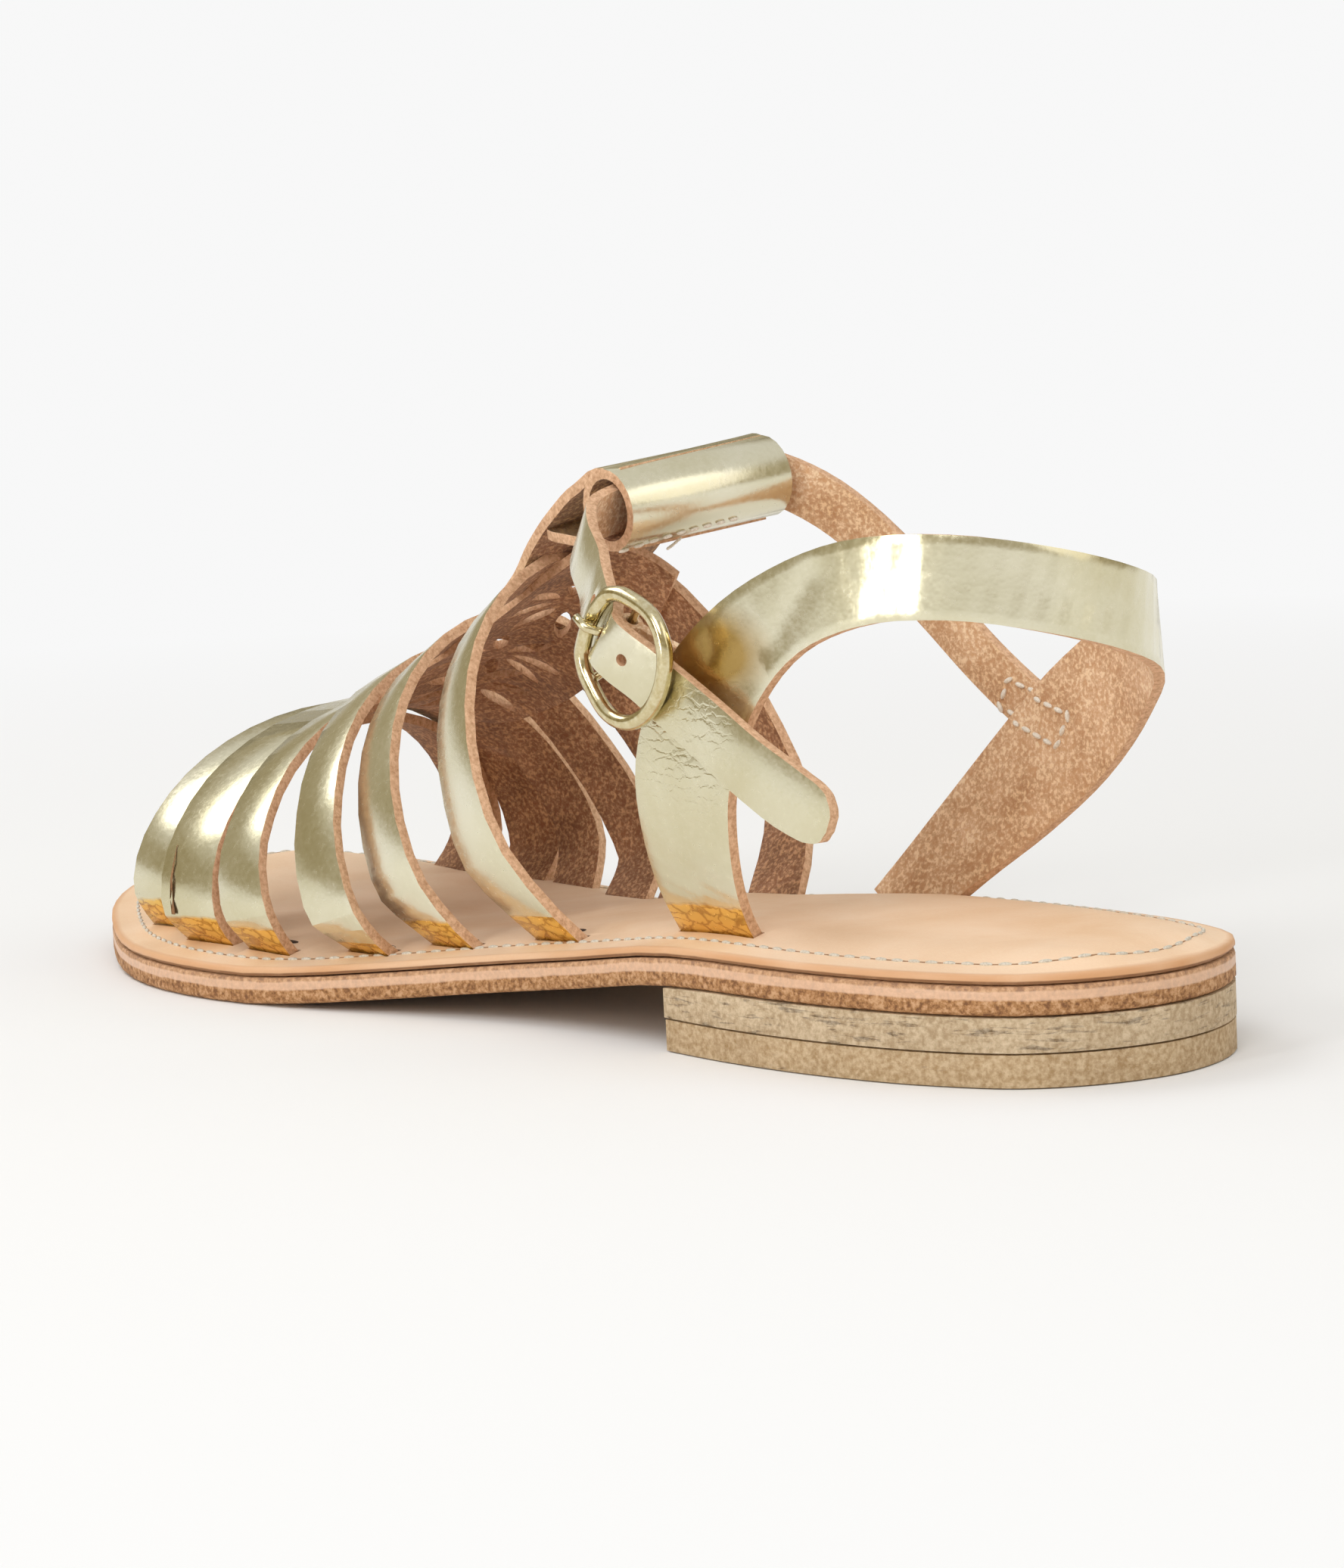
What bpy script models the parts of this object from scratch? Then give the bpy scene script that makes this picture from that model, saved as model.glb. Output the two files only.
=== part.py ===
# Flat leather cage sandal, left shoe.  Lengths below are in millimetres and are
# turned into metres when each mesh is made.  +X toe, +Y outer (left) side, +Z up.
import bpy
import bmesh
import math
import numpy as np
from mathutils import Vector

MM = 0.001

# sole stack
SOLE_LENGTH = 250.0
FIT_GAP = 0.3            # clearance between pieces that touch in the real shoe
LIFT_THICK = 4.75        # one heel lift
OUTSOLE_THICK = 4.25
INSOLE_EDGE = 1.45       # insole at its trimmed edge
INSOLE_DOME = 2.2        # how much the insole rises over the strap ends
DOME_MARGIN = 13.0       # width of the sloping margin of the insole
EDGE_ROUND = 0.45
GROOVE_DEEP = 0.5        # step under the insole edge, seen as the dark line
GROOVE_HIGH = 0.45
HEEL_BREAST_X = 76.5
HEEL_TAPER = 0.2         # how far the heel lifts stand inside the outsole
ARCH_LIFT = 2.4          # inner side of the waist above the outer side

# leather
STRAP_THICK = 1.7
SHEET_THICK = 1.5
WELD = 0.25              # pieces sewn together run this far into one another
ARCH_UNDER = math.radians(28.0)   # how far an arch turns back in under its widest place

# sole outline, one row per station: x, outer edge, inner edge
OUTLINE = {
    "x":     (0.0, 3.0, 10.0, 22.0, 40.0, 60.0, 80.0, 100.0, 120.0, 140.0,
              158.0, 175.0, 192.0, 208.0, 222.0, 234.0, 243.0, 248.5, 250.0),
    "outer": (0.0, 11.9, 21.6, 27.7, 32.0, 33.4, 32.2, 30.7, 32.5, 38.2,
              44.0, 46.8, 45.8, 41.0, 33.6, 25.3, 15.5, 4.7, -6.0),
    "inner": (0.0, -13.2, -22.3, -27.0, -28.6, -27.6, -24.9, -22.7, -24.2, -30.8,
              -38.6, -44.2, -46.2, -45.8, -43.2, -38.4, -30.4, -20.0, -6.0),
}

# underside of the outsole: x, height above the floor
UNDERSIDE = {
    "x":      (0.0, 62.0, 76.0, 100.0, 120.0, 140.0, 156.0, 168.0, 203.0, 220.0, 235.0, 250.0),
    "height": (10.4, 10.4, 9.9, 6.8, 4.4, 2.2, 0.7, 0.0, 0.0, 0.7, 2.2, 4.1),
}

# straps over the forefoot, one row each: foot of the strap on both sides, crest,
# height of the widest place over the insole, how far the strap bows out past its feet,
# how far its outer foot turns ahead, and its widths
STRAP_COLUMNS = ("name", "outerX", "outerY", "innerX", "innerY", "crestX", "crestY", "crestZ",
                 "rise", "outerBow", "innerBow", "footAhead", "footWidth", "crestWidth")
STRAPS = (
    ("toe_front", 205.0, 33.0, 212.0, -35.0, 205.5, -7.0, 40.5, 6.0, 3.5, 4.0, 0.0, 11.5, 11.5),
    ("toe_rear", 184.5, 38.6, 196.0, -37.5, 196.0, -7.0, 43.5, 6.0, 4.5, 4.0, 1.5, 13.4, 12.0),
    ("strap_c", 164.5, 38.6, 181.0, -36.8, 187.0, -6.0, 45.6, 7.8, 6.0, 4.0, 4.5, 11.2, 8.8),
    ("strap_d", 144.0, 34.4, 160.5, -31.8, 176.0, -5.5, 52.2, 7.6, 7.2, 6.5, 3.6, 10.8, 8.8),
    ("strap_e", 130.0, 29.2, 133.5, -21.5, 160.0, -5.5, 58.4, 11.0, 7.8, 9.0, 2.2, 11.4, 9.2),
    ("strap_f", 108.5, 25.4, 105.0, -16.8, 138.0, -5.5, 69.5, 15.5, 10.0, 10.8, 1.8, 11.8, 10.6),
)
TWIST_START = math.radians(12.0)   # below this angle a strap turns flat into its slot

# centre piece under the straps: place along the instep (1 = toe_rear ... 5 = strap_f)
# and its two edges as angles round the foot from the outer side
CENTRE = {
    "along": (1.15, 1.9, 2.6, 3.4, 4.2, 5.0, 5.35),
    "outerDeg": (84.0, 79.0, 76.0, 75.0, 75.0, 76.0, 79.0),
    "innerDeg": (112.0, 127.0, 134.0, 136.0, 134.0, 128.0, 122.0),
}

# lens-shaped cut-outs: along, angle round the foot, turn of the petal in degrees
PETAL_LONG = 8.6
PETAL_WIDE = 2.7
FLOWERS = ((2.55, 108.0), (3.5, 103.0), (4.5, 103.0))
PETALS_PER_FLOWER = 8
PETAL_CENTRE = 7.2       # distance of a petal's middle from the middle of its flower

# loop at the top of the instep: ends of its middle line, and the neck that carries it
LOOP_OUTER = (106.4, 14.0, 79.4)
LOOP_INNER = (104.6, -17.5, 82.4)
LOOP_RADIUS = 6.5
LOOP_WALL = 1.6
BORE_SPARE = 0.06        # the bore is cut once more after all pieces are joined
NECK = {
    "x":     (143.0, 138.0, 131.5, 124.0, 116.0, 108.5, 104.5),
    "y":     (-6.0, -5.6, -4.6, -3.4, -2.4, -2.0, -2.0),
    "z":     (65.6, 68.8, 74.2, 80.0, 84.8, 87.2, 87.5),
    "turn":  (0.0, 0.0, 0.0, 4.0, 12.0, 29.0, 90.0),
    "tilt":  (58.0, 55.0, 50.0, 54.0, 66.0, 79.0, 84.5),
    "width": (24.0, 26.0, 28.0, 29.0, 29.5, 29.5, 29.5),
}

# end of the rolled leather, turned forward under the neck and sewn to it
FLAP = {
    "x":     (104.6, 109.0, 115.0, 120.5, 125.0),
    "y":     (-2.0, -2.2, -2.6, -3.0, -3.5),
    "z":     (74.1, 74.2, 75.0, 76.1, 76.9),
    "turn":  (270.0, 270.0, 262.0, 240.0, 215.0),
    "tilt":  (-84.5, -84.5, -82.0, -78.0, -72.0),
    "width": (29.0, 29.0, 28.6, 28.0, 27.4),
}

# heel strap: outer leg, band round the heel, inner leg; place of the outer face,
# direction it faces (turn from +X, tilt up) and width
HEEL_STRAP = {
    "x":     (72.5, 72.0, 71.0, 68.8, 67.2, 63.8, 57.2, 47.0, 36.0, 22.0, 13.6, 12.4,
              20.0, 33.0, 47.0, 59.5, 70.0, 76.5, 79.0),
    "y":     (21.8, 24.6, 28.4, 33.0, 34.6, 34.0, 32.6, 30.8, 28.2, 21.5, 8.5, -5.9,
              -19.4, -26.6, -29.0, -28.6, -25.6, -21.6, -19.2),
    "z":     (12.5, 16.5, 22.0, 32.0, 42.0, 51.6, 60.4, 67.8, 71.8, 72.7, 70.0, 66.0,
              61.4, 54.6, 44.6, 34.4, 24.6, 16.8, 13.0),
    "turn":  (88.0, 88.0, 88.0, 88.0, 90.0, 92.0, 94.0, 96.0, 102.0, 133.0, 163.0, 192.0,
              228.0, 254.0, 266.0, 271.0, 272.0, 272.0, 272.0),
    "tilt":  (-34.0, -32.0, -26.0, -12.0, 0.0, 5.0, 6.0, 5.0, 4.0, 3.0, 3.0, 3.0,
              2.0, 1.0, -2.0, -10.0, -22.0, -30.0, -32.0),
    "width": (18.0, 18.2, 18.8, 20.6, 21.4, 20.4, 16.8, 13.4, 12.6, 12.2, 12.2, 12.4,
              13.6, 16.8, 19.6, 18.6, 16.4, 15.0, 14.8),
}

# ankle strap: from the inner leg through the loop to the buckle and its free end
ANKLE_STRAP = {
    "x":     (51.5, 60.0, 70.0, 80.0, 90.5, 99.0, 104.6, 106.3, 106.9, 105.2, 99.6, 91.0,
              85.6, 82.0, 80.8, 79.5, 78.5, 77.0, 75.0, 71.0, 67.0, 58.0, 48.0, 38.0, 34.6, 33.1,
              32.2, 31.7),
    "y":     (-32.5, -32.4, -31.8, -30.4, -27.2, -22.8, -17.0, -2.0, 13.5, 20.0, 25.8, 31.0,
              35.0, 37.0, 37.1, 38.4, 39.6, 40.2, 39.9, 38.3, 37.2, 37.5, 38.1, 37.9, 37.6, 37.5,
              37.5, 37.5),
    "z":     (41.4, 46.0, 53.0, 62.0, 72.4, 79.2, 82.8, 81.3, 79.8, 78.4, 75.6, 71.6,
              68.9, 66.3, 65.3, 64.4, 63.6, 62.5, 61.0, 58.0, 55.0, 50.4, 45.4, 40.8, 39.4, 38.8,
              38.5, 38.3),
    "turn":  (267.0, 268.0, 272.0, 280.0, 296.0, 322.0, 350.0, 360.0, 372.0, 396.0, 420.0, 438.0,
              446.0, 448.0, 449.0, 449.0, 450.0, 450.0, 450.0, 451.0, 452.0, 453.0, 454.0,
              456.0, 457.0, 457.0, 457.0, 457.0),
    "tilt":  (-2.0, 0.0, 5.0, 10.0, 16.0, 22.0, 24.0, 24.0, 24.0, 22.0, 18.0, 12.0,
              8.0, 6.0, 4.0, 3.0, 3.0, 2.0, 2.0, 2.0, 2.0, 1.0, 0.0, 0.0, 0.0, 0.0, 0.0, 0.0),
    "width": (8.4, 8.4, 8.4, 8.4, 8.4, 8.4, 8.2, 8.2, 8.2, 8.4, 8.6, 8.8,
              8.8, 8.8, 8.8, 8.9, 8.9, 8.9, 9.0, 9.0, 9.2, 9.6, 9.8, 9.6, 8.6, 7.0, 4.8, 2.4),
}
HOLE_RADIUS = 0.95
HOLES = (-8.2, 6.8)      # the other holes, along the strap from the prong hole
PRONG_HOLE_RUN = -5.3    # prong hole from the middle of the buckle

# buckle: centre of its frame, direction the free end runs, frame half sizes
BUCKLE_CENTRE = (75.0, 38.8, 61.0)
BUCKLE_RUN = (-0.8, 0.0, -0.6)
FRAME_BACK = 7.4         # flat side, behind the middle
# frame from its flat side to its round side: place along the run, half width
FRAME_SHAPE = {
    "run":  (-7.4, -6.9, -5.6, -2.0, 3.0, 7.2, 9.6, 10.2),
    "half": (4.2, 5.6, 7.0, 8.6, 9.4, 7.4, 3.6, 0.0),
}
FRAME_WIRE = 1.25
BAR_BACK = 3.3           # centre bar from the middle, towards the flat side
BAR_SUNK = 3.2           # centre bar below the plane of the frame
BAR_WIRE = 0.7
PRONG_WIRE = 0.7
TAB_WIDE = 6.6
TAB_PLY = 0.8
TAB_LONG = 20.0
TAIL_FACE_Y = 31.2       # outer face of the tab's tail, just inside the leg
LEG_FACE_Y = 34.3        # outer face of the leg at the rivet
RIVET_ALONG = 11.5
RIVET_HEAD = 2.5
RIVET_SHAFT = 1.1

COLOURS = {
    "sole_leather": ((0.33, 0.15, 0.06), 0.85, 0.0),
    "insole_leather": ((0.78, 0.55, 0.37), 0.6, 0.0),
    "heel_leather": ((0.46, 0.32, 0.18), 0.9, 0.0),
    "heel_leather_low": ((0.42, 0.28, 0.15), 0.9, 0.0),
    "gold_foil_leather": ((0.60, 0.56, 0.36), 0.32, 0.75),
    "gold_foil_heel_strap": ((0.60, 0.56, 0.36), 0.32, 0.75),
    "gold_foil_ankle_strap": ((0.60, 0.56, 0.36), 0.32, 0.75),
    "buckle_metal": ((0.80, 0.72, 0.52), 0.22, 1.0),
    "prong_metal": ((0.80, 0.72, 0.52), 0.22, 1.0),
    "tab_leather": ((0.62, 0.40, 0.25), 0.7, 0.0),
    "rivet_metal": ((0.72, 0.62, 0.40), 0.3, 1.0),
}


def clearScene():
    for thing in list(bpy.data.objects):
        bpy.data.objects.remove(thing, do_unlink=True)
    for mesh in list(bpy.data.meshes):
        bpy.data.meshes.remove(mesh)


def makeCollection(name):
    group = bpy.data.collections.new(name)
    bpy.context.scene.collection.children.link(group)
    return group


def smoothRows(places, values, wanted):
    """Monotone cubic through rows, no overshoot between them."""
    x = np.asarray(places, float)
    y = np.asarray(values, float)
    wanted = np.clip(np.asarray(wanted, float), x[0], x[-1])
    step = np.diff(x)
    slope = np.diff(y) / step
    m = np.zeros(len(x))
    m[0] = slope[0]
    m[-1] = slope[-1]
    for i in range(1, len(x) - 1):
        if slope[i - 1] * slope[i] > 0:
            m[i] = 2.0 * slope[i - 1] * slope[i] / (slope[i - 1] + slope[i])
    i = np.clip(np.searchsorted(x, wanted, side="right") - 1, 0, len(step) - 1)
    t = (wanted - x[i]) / step[i]
    h = step[i]
    return ((2 * t**3 - 3 * t**2 + 1) * y[i] + (t**3 - 2 * t**2 + t) * h * m[i]
            + (3 * t**2 - 2 * t**3) * y[i + 1] + (t**3 - t**2) * h * m[i + 1])


def curveThrough(points, perSpan, closed=False):
    """Smooth curve through rows of numbers, spaced by the distance between the rows."""
    p = np.asarray(points, float)
    if closed:
        p = np.vstack([p[-1], p, p[0], p[1]])
    else:
        p = np.vstack([2 * p[0] - p[1], p, 2 * p[-1] - p[-2]])
    out = []
    for i in range(1, len(p) - 2):
        gap = [max(np.linalg.norm(p[i + k + 1][:3] - p[i + k][:3]), 1e-6) for k in (-1, 0, 1)]
        before = (p[i] - p[i - 1]) / gap[0]
        here = (p[i + 1] - p[i]) / gap[1]
        after = (p[i + 2] - p[i + 1]) / gap[2]
        start = (before * gap[1] + here * gap[0]) / (gap[0] + gap[1]) * gap[1]
        end = (here * gap[2] + after * gap[1]) / (gap[1] + gap[2]) * gap[1]
        for k in range(perSpan):
            t = k / perSpan
            out.append((2 * t**3 - 3 * t**2 + 1) * p[i] + (t**3 - 2 * t**2 + t) * start
                       + (3 * t**2 - 2 * t**3) * p[i + 1] + (t**3 - t**2) * end)
    if not closed:
        out.append(p[-2])
    return np.array(out)


def unit(v):
    v = np.asarray(v, float)
    return v / np.maximum(np.linalg.norm(v, axis=-1, keepdims=True), 1e-12)


def makeObject(name, verts, faces, group):
    """Mesh object from points in millimetres, merged and facing outwards."""
    mesh = bpy.data.meshes.new(name)
    mesh.from_pydata([tuple(float(c) * MM for c in v) for v in verts], [], faces)
    work = bmesh.new()
    work.from_mesh(mesh)
    bmesh.ops.remove_doubles(work, verts=work.verts, dist=0.000002)
    bmesh.ops.dissolve_degenerate(work, edges=work.edges, dist=0.000001)
    bmesh.ops.recalc_face_normals(work, faces=work.faces)
    work.to_mesh(mesh)
    work.free()
    thing = bpy.data.objects.new(name, mesh)
    group.objects.link(thing)
    return thing


def hideCutter(thing):
    thing.hide_render = True
    thing.display_type = "WIRE"


def combine(thing, other, kind):
    """One Boolean, applied, and the second object removed."""
    modifier = thing.modifiers.new(kind.lower(), "BOOLEAN")
    modifier.operation = kind
    modifier.solver = "EXACT"
    modifier.object = other
    graph = bpy.context.evaluated_depsgraph_get()
    mesh = bpy.data.meshes.new_from_object(thing.evaluated_get(graph))
    thing.modifiers.clear()
    old = thing.data
    thing.data = mesh
    bpy.data.meshes.remove(old)
    bpy.data.objects.remove(other, do_unlink=True)


# Sole
def soleLoop():
    outer = list(zip(OUTLINE["x"], OUTLINE["outer"]))
    inner = list(zip(OUTLINE["x"], OUTLINE["inner"]))
    return curveThrough(outer + inner[-2:0:-1], 14, closed=True)


SOLE_LOOP = soleLoop()


def insetLoop(distance):
    ahead = np.roll(SOLE_LOOP, -1, axis=0)
    behind = np.roll(SOLE_LOOP, 1, axis=0)
    along = unit(ahead - behind)
    inward = np.stack([along[:, 1], -along[:, 0]], axis=1)
    return SOLE_LOOP + inward * distance


def sideRows(distance):
    """Outer and inner side of the outline, set in by a distance, as rows rising in x."""
    loop = insetLoop(distance)
    first = int(loop[:, 0].argmin())
    loop = np.roll(loop, -first, axis=0)
    last = int(loop[:, 0].argmax())
    outer = loop[:last + 1]
    inner = np.vstack([loop[last:], loop[:1]])[::-1]
    if outer[:, 1].mean() < inner[:, 1].mean():
        outer, inner = inner, outer
    return outer, inner


SIDE_CACHE = {}


def soleEdges(x, distance=0.0):
    """Outer and inner edge of the sole at x."""
    key = round(distance, 3)
    if key not in SIDE_CACHE:
        SIDE_CACHE[key] = sideRows(distance)
    outer, inner = SIDE_CACHE[key]
    return (float(np.interp(x, outer[:, 0], outer[:, 1])),
            float(np.interp(x, inner[:, 0], inner[:, 1])))


def soleEnds(distance):
    soleEdges(0.0, distance)
    outer, inner = SIDE_CACHE[round(distance, 3)]
    return outer[0], outer[-1]


def underside(x, y):
    """Height of the outsole's underside."""
    z = float(smoothRows(UNDERSIDE["x"], UNDERSIDE["height"], x))
    if HEEL_BREAST_X < x < 154.0:
        outerY, innerY = soleEdges(x)
        across = min(max((outerY - y) / max(outerY - innerY, 1.0), 0.0), 1.0)
        z += ARCH_LIFT * across * math.sin(math.pi * (x - HEEL_BREAST_X) / (154.0 - HEEL_BREAST_X))**2
    return z


def outsoleTop(x, y):
    return underside(x, y) + OUTSOLE_THICK


def insoleUnder(x, y):
    return outsoleTop(x, y) + FIT_GAP


def insoleTop(x, y):
    """Top of the insole: its edge height and the rise over the strap ends."""
    outerY, innerY = soleEdges(x)
    inside = min(outerY - y, y - innerY, x * 1.2 + 0.5, (SOLE_LENGTH - x) * 1.2 + 0.5)
    t = min(max(inside / DOME_MARGIN, 0.0), 1.0)
    return insoleUnder(x, y) + INSOLE_EDGE + INSOLE_DOME * t * t * (3.0 - 2.0 * t)


def layer(name, side, topZ, bottomZ, group, across=14, stations=46, endX=None, shrink=0.0):
    """Loft of one sole layer.  side: rows of (set in, 'top' or 'bottom', height change)."""
    rings = []
    for k in range(stations + 1):
        ring = []
        edge = []
        for inset, level, change in side:
            start, finish = soleEnds(inset + shrink)
            if endX is None:
                f = (1.0 - math.cos(math.pi * k / stations)) / 2.0
                x = start[0] + (finish[0] - start[0]) * f
            else:
                f = 1.0 - math.cos(math.pi / 2.0 * k / stations)
                x = start[0] + (endX - start[0]) * f
            outerY, innerY = soleEdges(x, inset + shrink)
            if k == 0:
                outerY = innerY = start[1]
            if k == stations and endX is None:
                outerY = innerY = finish[1]
            height = topZ if level == "top" else bottomZ
            edge.append((x, outerY, innerY, height, change))
        for x, outerY, innerY, height, change in edge:
            ring.append((x, outerY, height(x, outerY) + change))
        x, outerY, innerY, height, change = edge[-1]
        for j in range(1, across):
            y = outerY + (innerY - outerY) * (1.0 - math.cos(math.pi * j / across)) / 2.0
            ring.append((x, y, height(x, y) + change))
        for x, outerY, innerY, height, change in reversed(edge):
            ring.append((x, innerY, height(x, innerY) + change))
        x, outerY, innerY, height, change = edge[0]
        for j in range(across - 1, 0, -1):
            y = outerY + (innerY - outerY) * (1.0 - math.cos(math.pi * j / across)) / 2.0
            ring.append((x, y, height(x, y) + change))
        rings.append(ring)
    count = len(rings[0])
    verts = [v for ring in rings for v in ring]
    faces = []
    for k in range(len(rings) - 1):
        for j in range(count):
            n = (j + 1) % count
            faces.append((k * count + j, k * count + n, (k + 1) * count + n, (k + 1) * count + j))
    # both long edges of the first ring fall together, so each end closes on itself;
    # a cut end gets a wall of quads between its top and its bottom
    if endX is not None:
        base = (len(rings) - 1) * count
        rows = len(side)
        lower = [base + j for j in range(rows - 1, rows + across)]
        upper = [base + (j % count) for j in range(count, count - across - 1, -1)]
        for j in range(across):
            faces.append((lower[j], lower[j + 1], upper[j + 1], upper[j]))
        faces.append(tuple(base + j for j in range(rows)) if rows > 2 else ())
        start = rows + across - 1
        faces.append(tuple(base + j for j in range(start, start + rows)) if rows > 2 else ())
        faces = [f for f in faces if f]
    return makeObject(name, verts, faces, group)


# Straps over the foot
def strapRow(index):
    return dict(zip(STRAP_COLUMNS, STRAPS[index]))


def footZ(row, side):
    return insoleTop(row[side + "X"], row[side + "Y"])


def archPoint(row, angle):
    """Outer face of a strap's middle line; angle runs from 0 (outer) to pi (inner)."""
    c, s = math.cos(angle), math.sin(angle)
    share = (1.0 - min(max(c / math.cos(ARCH_UNDER), -1.0), 1.0)) / 2.0
    ground = footZ(row, "outer") * (1.0 - share) + footZ(row, "inner") * share
    wideZ = ground + row["rise"]
    low = min(max(-s / math.sin(ARCH_UNDER), 0.0), 1.0)
    side, sign = ("outer", 1.0) if c > 0 else ("inner", -1.0)
    reach = abs(row[side + "Y"] - row["crestY"]) + row[side + "Bow"]
    if s >= 0:
        y = row["crestY"] + reach * c
        z = wideZ + (row["crestZ"] - wideZ) * s
    else:
        y = row["crestY"] + sign * (reach - row[side + "Bow"] * low**1.5)
        z = wideZ - row["rise"] * low
    lean = min(max((z - ground) / (row["crestZ"] - ground), 0.0), 1.2)
    feet = row["outerX"] * (1.0 - share) + row["innerX"] * share
    x = feet + (row["crestX"] - (row["outerX"] + row["innerX"]) / 2.0) * lean
    if side == "outer":
        x += row["footAhead"] * low**1.5
    return np.array((x, y, z))


def strapFrame(row, steps, spare):
    """Points of the outer face, the way out of it and the way across it."""
    angles = np.linspace(-ARCH_UNDER, math.pi + ARCH_UNDER, steps)
    path = [archPoint(row, a) for a in angles]
    down = unit(path[0] - path[1])
    path = [path[0] + down * spare] + path
    down = unit(path[-1] - path[-2])
    path = path + [path[-1] + down * spare]
    path = np.array(path)
    middle = path[len(path) // 2]
    across = unit(np.cross(path[1] - middle, path[-2] - middle))
    if across[0] < 0:
        across = -across
    past = np.clip((np.abs(angles - math.pi / 2.0) - math.pi / 2.0 + TWIST_START)
                   / (TWIST_START + ARCH_UNDER), 0.0, 1.0)
    past = np.concatenate([[1.0], past * past * (3.0 - 2.0 * past), [1.0]])[:, None]
    across = unit(across * (1.0 - past) + np.array((1.0, 0.0, 0.0)) * past)
    tangent = np.gradient(path, axis=0)
    outward = unit(np.cross(tangent, across))
    if outward[len(path) // 2][2] < 0:
        outward = -outward
    return path, outward, across


def bandMesh(name, path, outward, across, widths, thick, group, grow=0.0):
    """Strip of leather: path is the middle of its outer face."""
    verts = []
    for p, o, a, w in zip(path, outward, across, widths):
        half = w / 2.0 + grow
        outer = p + o * grow
        inner = p - o * (thick + grow)
        verts += [outer + a * half, outer - a * half, inner - a * half, inner + a * half]
    faces = []
    for k in range(len(path) - 1):
        for j in range(4):
            n = (j + 1) % 4
            faces.append((4 * k + j, 4 * k + n, 4 * k + 4 + n, 4 * k + 4 + j))
    last = 4 * (len(path) - 1)
    faces += [(0, 1, 2, 3), (last + 3, last + 2, last + 1, last)]
    return makeObject(name, verts, faces, group)


def strapWidths(row, count):
    t = np.abs(np.linspace(-1.0, 1.0, count))
    return row["crestWidth"] + (row["footWidth"] - row["crestWidth"]) * t**1.6


def makeStrap(row, group, grow=0.0, steps=31, spare=7.0):
    path, outward, across = strapFrame(row, steps, spare)
    return bandMesh(row["name"], path, outward, across, strapWidths(row, len(path)),
                    STRAP_THICK, group, grow)


def slotCutter(path, outward, across, width, thick, group, name):
    """Short grown piece of a strip around the insole."""
    return bandMesh(name, path, outward, across, width, thick, group, grow=FIT_GAP)


def strapSlots(row, group):
    path, outward, across = strapFrame(row, 31, 7.0)
    widths = strapWidths(row, len(path))
    cutters = []
    for picked in ([0, 1, 2, 3, 4], [-5, -4, -3, -2, -1]):
        cutters.append(slotCutter(path[picked], outward[picked], across[picked], widths[picked],
                                  STRAP_THICK, group, "slot"))
    return cutters


# Free strips: heel strap, ankle strap, neck and flap
def stripFrame(table, perSpan):
    keys = ("x", "y", "z", "turn", "tilt", "width")
    rows = curveThrough(np.array([table[k] for k in keys]).T, perSpan)
    path = rows[:, :3]
    turn = np.radians(rows[:, 3])
    tilt = np.radians(rows[:, 4])
    facing = np.stack([np.cos(turn) * np.cos(tilt), np.sin(turn) * np.cos(tilt), np.sin(tilt)], axis=1)
    tangent = unit(np.gradient(path, axis=0))
    outward = unit(facing - tangent * (facing * tangent).sum(axis=1, keepdims=True))
    across = np.cross(tangent, outward)
    return path, outward, across, rows[:, 5]


def makeStrip(name, table, group, thick=STRAP_THICK, perSpan=4, grow=0.0):
    path, outward, across, widths = stripFrame(table, perSpan)
    return bandMesh(name, path, outward, across, widths, thick, group, grow)


# Centre piece
def lastPoint(along, degrees):
    """The surface the straps lie on; along counts straps from the toe."""
    rows = [archPoint(strapRow(i), math.radians(degrees)) for i in range(len(STRAPS))]
    top = len(rows) - 1
    if along >= top:
        step = rows[top] - rows[top - 1]
        return rows[top] + step * (along - top)
    i = min(int(along), top - 1)
    t = along - i
    before = rows[max(i - 1, 0)]
    after = rows[min(i + 2, top)]
    a, b = rows[i], rows[i + 1]
    start, end = (b - before) / 2.0, (after - a) / 2.0
    return ((2 * t**3 - 3 * t**2 + 1) * a + (t**3 - 2 * t**2 + t) * start
            + (3 * t**2 - 2 * t**3) * b + (t**3 - t**2) * end)


def lastNormal(along, degrees):
    ahead = lastPoint(along - 0.05, degrees) - lastPoint(along + 0.05, degrees)
    around = lastPoint(along, degrees - 1.0) - lastPoint(along, degrees + 1.0)
    n = unit(np.cross(ahead, around))
    return n if n[2] > 0 else -n


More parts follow.
